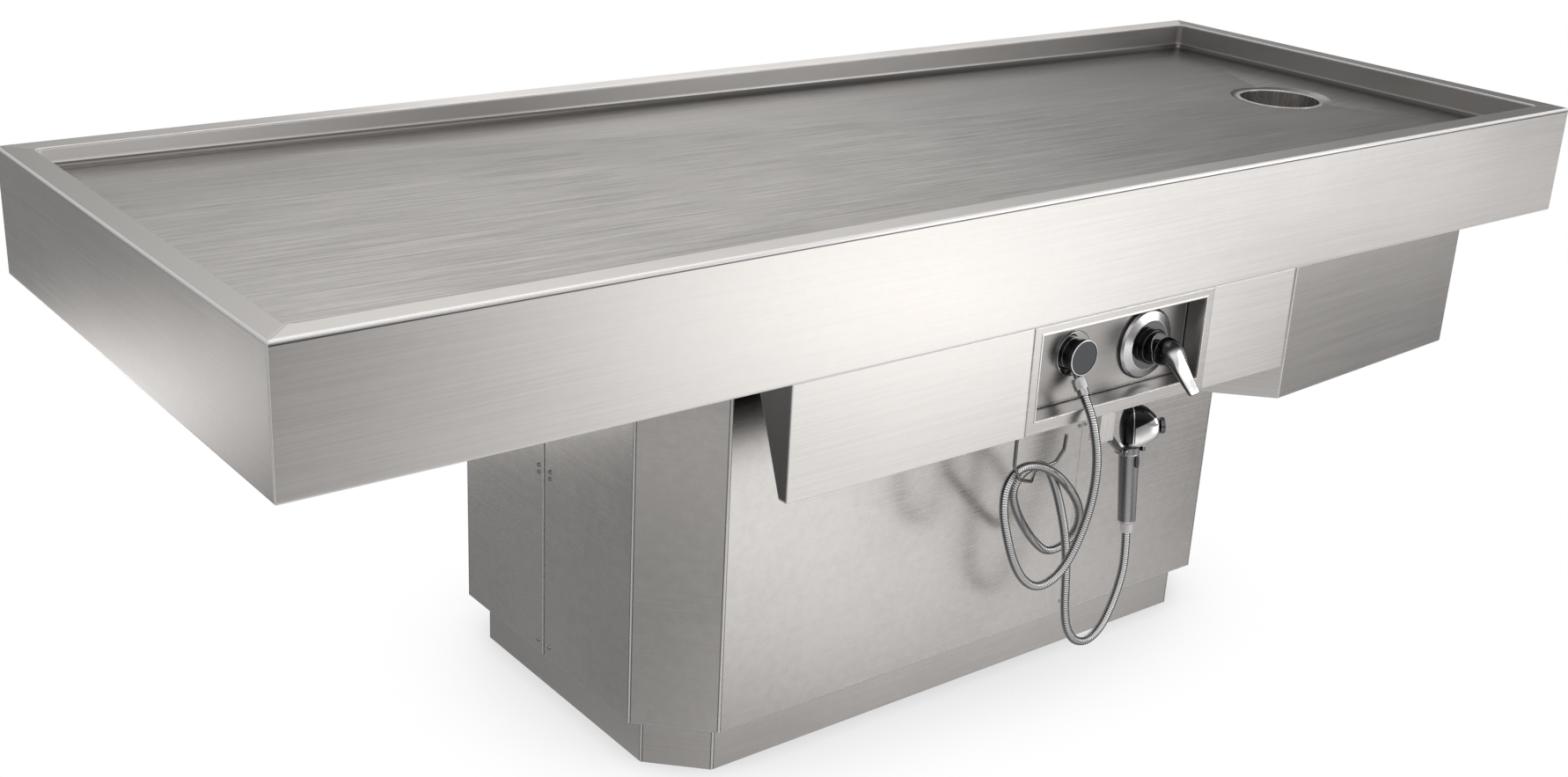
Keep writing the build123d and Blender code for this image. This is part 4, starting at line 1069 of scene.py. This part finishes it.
# the apron's end plate is painted dark as painted shade
dress(brushed("endSheet", alongZ, tone=0.30), "apron_end_plate")
dress(brushed("bracketSheet", alongZ, rough=-0.06), "holder_bracket")
dress(brushed("coverSheet", allRound, rough=-0.07, lines=0.12, streak=0.10, mottle=0.45, speckle=0.3,
              local=coverSeamsAndLight), "pedestal_cover_front", "pedestal_cover_access", "pedestal_cover_back")
dress(brushed("seamShadow", alongZ, tone=0.06), "seam_strips")
dress(brushed("plinthSheet", allRound, tone=0.98, lines=0.2, streak=0.2, local=plinthFoldLight), "plinth_front",
      "plinth_back")
dress(brushed("millSteel", alongX, tone=0.8, rough=0.12), "tray_bearers", "frame_rail_front", "frame_rail_back",
      "housing_hangers", "base_plate", "pedestal_posts", "top_plate")
dress(brushed("potSteel", alongZ, tone=0.8, rough=-0.08), "drain_pot", "waste_grid")
dress(polished("screwSteel", (0.5, 0.49, 0.48), 0.2, 0.0004), "cover_screws", "niche_screws", "lever_pin")
dress(polished("hookSteel", (0.22, 0.22, 0.22), 0.18), "hose_hook")
chrome = polished("chrome", fittingTones["chrome"])
# copies of the chrome painted darker, as painted dark reflections
shadedChrome = polished("shadedChrome", fittingTones["shadedChrome"], 0.06, 0.0018)
deepShadedChrome = polished("deepShadedChrome", (0.045, 0.045, 0.047), 0.05, 0.0014)
dress(chrome, "hose_nut", "spray_face", "mixer_lever", "shower_hose")
dress(deepShadedChrome, "mixer_sleeve", "mixer_hub")
dress(shadedChrome, "holder_fork", "shower_head")
sprayDisc.data.materials.append(shadedChrome)
leverShell.data.materials.append(leverFinish(mixer, lever["pivot"], fittingTones))
showerHead.data.materials.append(headFinish(head, headReflections, fittingTones))
nicheBead.data.materials.append(polished("beadSteel", (0.9, 0.885, 0.87), 0.16))
dress(plateFinish(mixer, fittingTones), "mixer_plate")
dress(outletFinish(outlet, fittingTones), "outlet_body")
dress(knobFinish(outlet, fittingTones), "outlet_knob")
dress(handleFinish(handShower, fittingTones), "shower_handle")
dress(moulded("buttonGrey", (0.03, 0.03, 0.032), (0.045, 0.045, 0.048), 0.2, 0.3), "shower_button")
dress(moulded("collarWhite", (0.74, 0.70, 0.715), (0.82, 0.78, 0.795), 0.25, 0.35), "shower_collar")
dress(moulded("drainGrey", (0.3, 0.31, 0.32), (0.36, 0.37, 0.38), 0.4, 0.5), "waste_union", "waste_trap",
      "waste_pipe")
dress(moulded("cartridgeWhite", (0.75, 0.74, 0.7), (0.8, 0.79, 0.76), 0.4, 0.5), "mixer_cartridge")
dress(polished("brass", (0.62, 0.48, 0.24), 0.25), "mixer_body")
dress(polished("copper", (0.72, 0.42, 0.28), 0.25), "hot_pipe", "cold_pipe", "mixed_pipe")


hoseTones = {
    "rough": 0.09,
    "groove": (0.02, 0.02, 0.021),
    "dark": (0.22, 0.22, 0.225),
    "light": (0.97, 0.97, 0.98),
    "ribRange": (0.3, 0.8),
    "lightWay": (-0.52, -0.80, 0.30),
    "front": (0.80, 0.93),
    "band": (0.15, 0.40, 0.08),
    "bandShare": 0.5,
}


def hoseFinish(values):
    # ribs with painted shade in the grooves between, by a value that runs along the hose's surface, and painted
    # highlight bands on the side that faces lightWay
    finish = Finish("hoseChrome", Metallic=1.0, Roughness=values["rough"])
    rib = finish.node("ShaderNodeAttribute", {"attribute_name": "ribHeight"}, {}, "Fac")
    # painted highlight: faces turned towards lightWay are painted bright, in a main band and a fainter second band
    front = finish.facing(values["lightWay"])
    litBands = front.rise(*values["front"]) + front.between(*values["band"]) * values["bandShare"]
    ribs = finish.blend(litBands, values["dark"], values["light"])
    finish.set("Base Color", finish.blend(rib.rise(*values["ribRange"]), values["groove"], ribs))
    return finish.material


woundHose.data.materials.append(hoseFinish(hoseTones))
print("finishes set")


# Floor, world and lamps

studio = {
    "floorSize": 60,
    "floorColour": (0.80, 0.80, 0.80),
    "shadowTone": 0.60,
    "shadowReach": 0.35,
    "floorBase": 0.22,
    "floorPools": [((1.32, -2.58), 1.64, 1.95), ((3.45, -2.96), 2.02, 1.05), ((-1.5, 1.69), 0.88, 2.0),
                   ((0.0, -1.24), 1.5, 0.65), ((-1.7, -1.2), 0.9, 0.25), ((2.2, 2.9), 2.4, 0.7)],
    "horizon": 0.05,
    "ceiling": 0.45,
    "awayGlow": 0.35,
    "washWay": (0.543, 0.84),
    "washSharp": 0.9,
    "washFoot": (0.20, 0.50),
    "washTop": (0.6, 0.9),
    "wash": 1.75,
    "awayRange": (-0.2, 0.6),
    "lampColour": (1, 0.985, 0.97, 1),
    "ambient": 0.55,
}


def makeFloor(values):
    deselectAll()
    bpy.ops.mesh.primitive_plane_add(size=values["floorSize"], location=(0, 0, 0))
    floor = newest("studioFloor")
    finish = Finish("studioFloor", Roughness=0.9, Base_Color=values["floorColour"])
    # the camera sees a white glowing floor with a painted contact shadow; glossy rays see it with painted pools of
    # light
    seen = finish.node("ShaderNodeLightPath", {}, {}, "Is Camera Ray")
    shone = finish.node("ShaderNodeLightPath", {}, {}, "Is Glossy Ray")
    reached = {"Distance": values["shadowReach"]}
    contact = finish.node("ShaderNodeAmbientOcclusion", {"samples": 16}, reached, "AO")
    tone = contact.rise(0.0, 0.9, values["shadowTone"], 1.0)
    white = finish.node("ShaderNodeCombineColor", {}, {0: tone, 1: tone, 2: tone})
    glow = finish.node("ShaderNodeEmission", {}, {"Color": white, "Strength": 1.0})
    x, y = finish.axes()[:2]
    bright = finish.node("ShaderNodeValue", {}, {})
    bright.socket.default_value = values["floorBase"]
    for (poolX, poolY), reach, glowing in values["floorPools"]:
        far = ((x - poolX) * (x - poolX) + (y - poolY) * (y - poolY)).root()
        bright = bright + far.rise(0, reach, glowing, 0)
    mirrored = finish.node("ShaderNodeEmission", {}, {"Color": values["lampColour"], "Strength": bright})
    matt = Wire(finish, finish.shader.outputs[0])
    base = finish.node("ShaderNodeMixShader", {}, {0: shone, 1: matt, 2: mirrored})
    both = finish.node("ShaderNodeMixShader", {}, {0: seen, 1: base, 2: glow})
    finish.link(finish.tree.nodes["Material Output"].inputs["Surface"], both)
    floor.data.materials.append(finish.material)


class Sky(Finish):
    # the world's own nodes, written as a material's are
    def __init__(self, name):
        self.material = bpy.data.worlds.new(name)
        self.material.use_nodes = True
        self.tree = self.material.node_tree
        self.tree.nodes.clear()
        self.place = self.node("ShaderNodeTexCoord", {}, {}, "Generated")


def makeWorld(values):
    sky = Sky("studioWorld")
    x, y, z = sky.axes()
    wayX, wayY = values["washWay"]
    flat = (x * x + y * y + 0.0001).root()
    facing = (x * wayX + y * wayY) / flat
    toWash = facing.rise(values["washSharp"], 1.0)
    away = 1 - facing.rise(*values["awayRange"])
    lift = z.rise(0.0, 0.5, values["horizon"], values["ceiling"]) + away * values["awayGlow"]
    wash = z.rise(*values["washFoot"]) * (1 - z.rise(*values["washTop"])) * toWash
    level = lift + wash * values["wash"]
    seen = sky.node("ShaderNodeLightPath", {}, {}, "Is Camera Ray")
    shone = sky.node("ShaderNodeLightPath", {}, {}, "Is Glossy Ray")
    plain = sky.node("ShaderNodeBackground", {}, {"Color": (1, 1, 1, 1), "Strength": values["ambient"]})
    mirrored = sky.node("ShaderNodeBackground", {}, {"Color": values["lampColour"], "Strength": level})
    white = sky.node("ShaderNodeBackground", {}, {"Color": (1, 1, 1, 1), "Strength": 1.0})
    first = sky.node("ShaderNodeMixShader", {}, {0: shone, 1: plain, 2: mirrored})
    both = sky.node("ShaderNodeMixShader", {}, {0: seen, 1: first, 2: white})
    output = sky.tree.nodes.new("ShaderNodeOutputWorld")
    sky.link(output.inputs["Surface"], both)
    bpy.context.scene.world = sky.material


def softbox(name, place, target, size, energy):
    deselectAll()
    bpy.ops.object.light_add(type="AREA", location=place)
    lamp = bpy.context.object
    lamp.name = name
    lamp.data.shape = "RECTANGLE"
    lamp.data.size, lamp.data.size_y = size
    lamp.data.energy = energy
    lamp.rotation_euler = (Vector(target) - Vector(place)).to_track_quat("-Z", "Y").to_euler()
    lamp.visible_camera = False


makeFloor(studio)
makeWorld(studio)
softbox("frontRightBox", (2.6, -2.9, 1.5), (0.4, -0.2, 0.5), (1.6, 2.0), 30)
softbox("topBox", (0.2, -0.4, 3.8), (0, 0, 0.8), (2.5, 1.5), 25)
bpy.context.scene.view_settings.view_transform = "Standard"
print("studio lit")
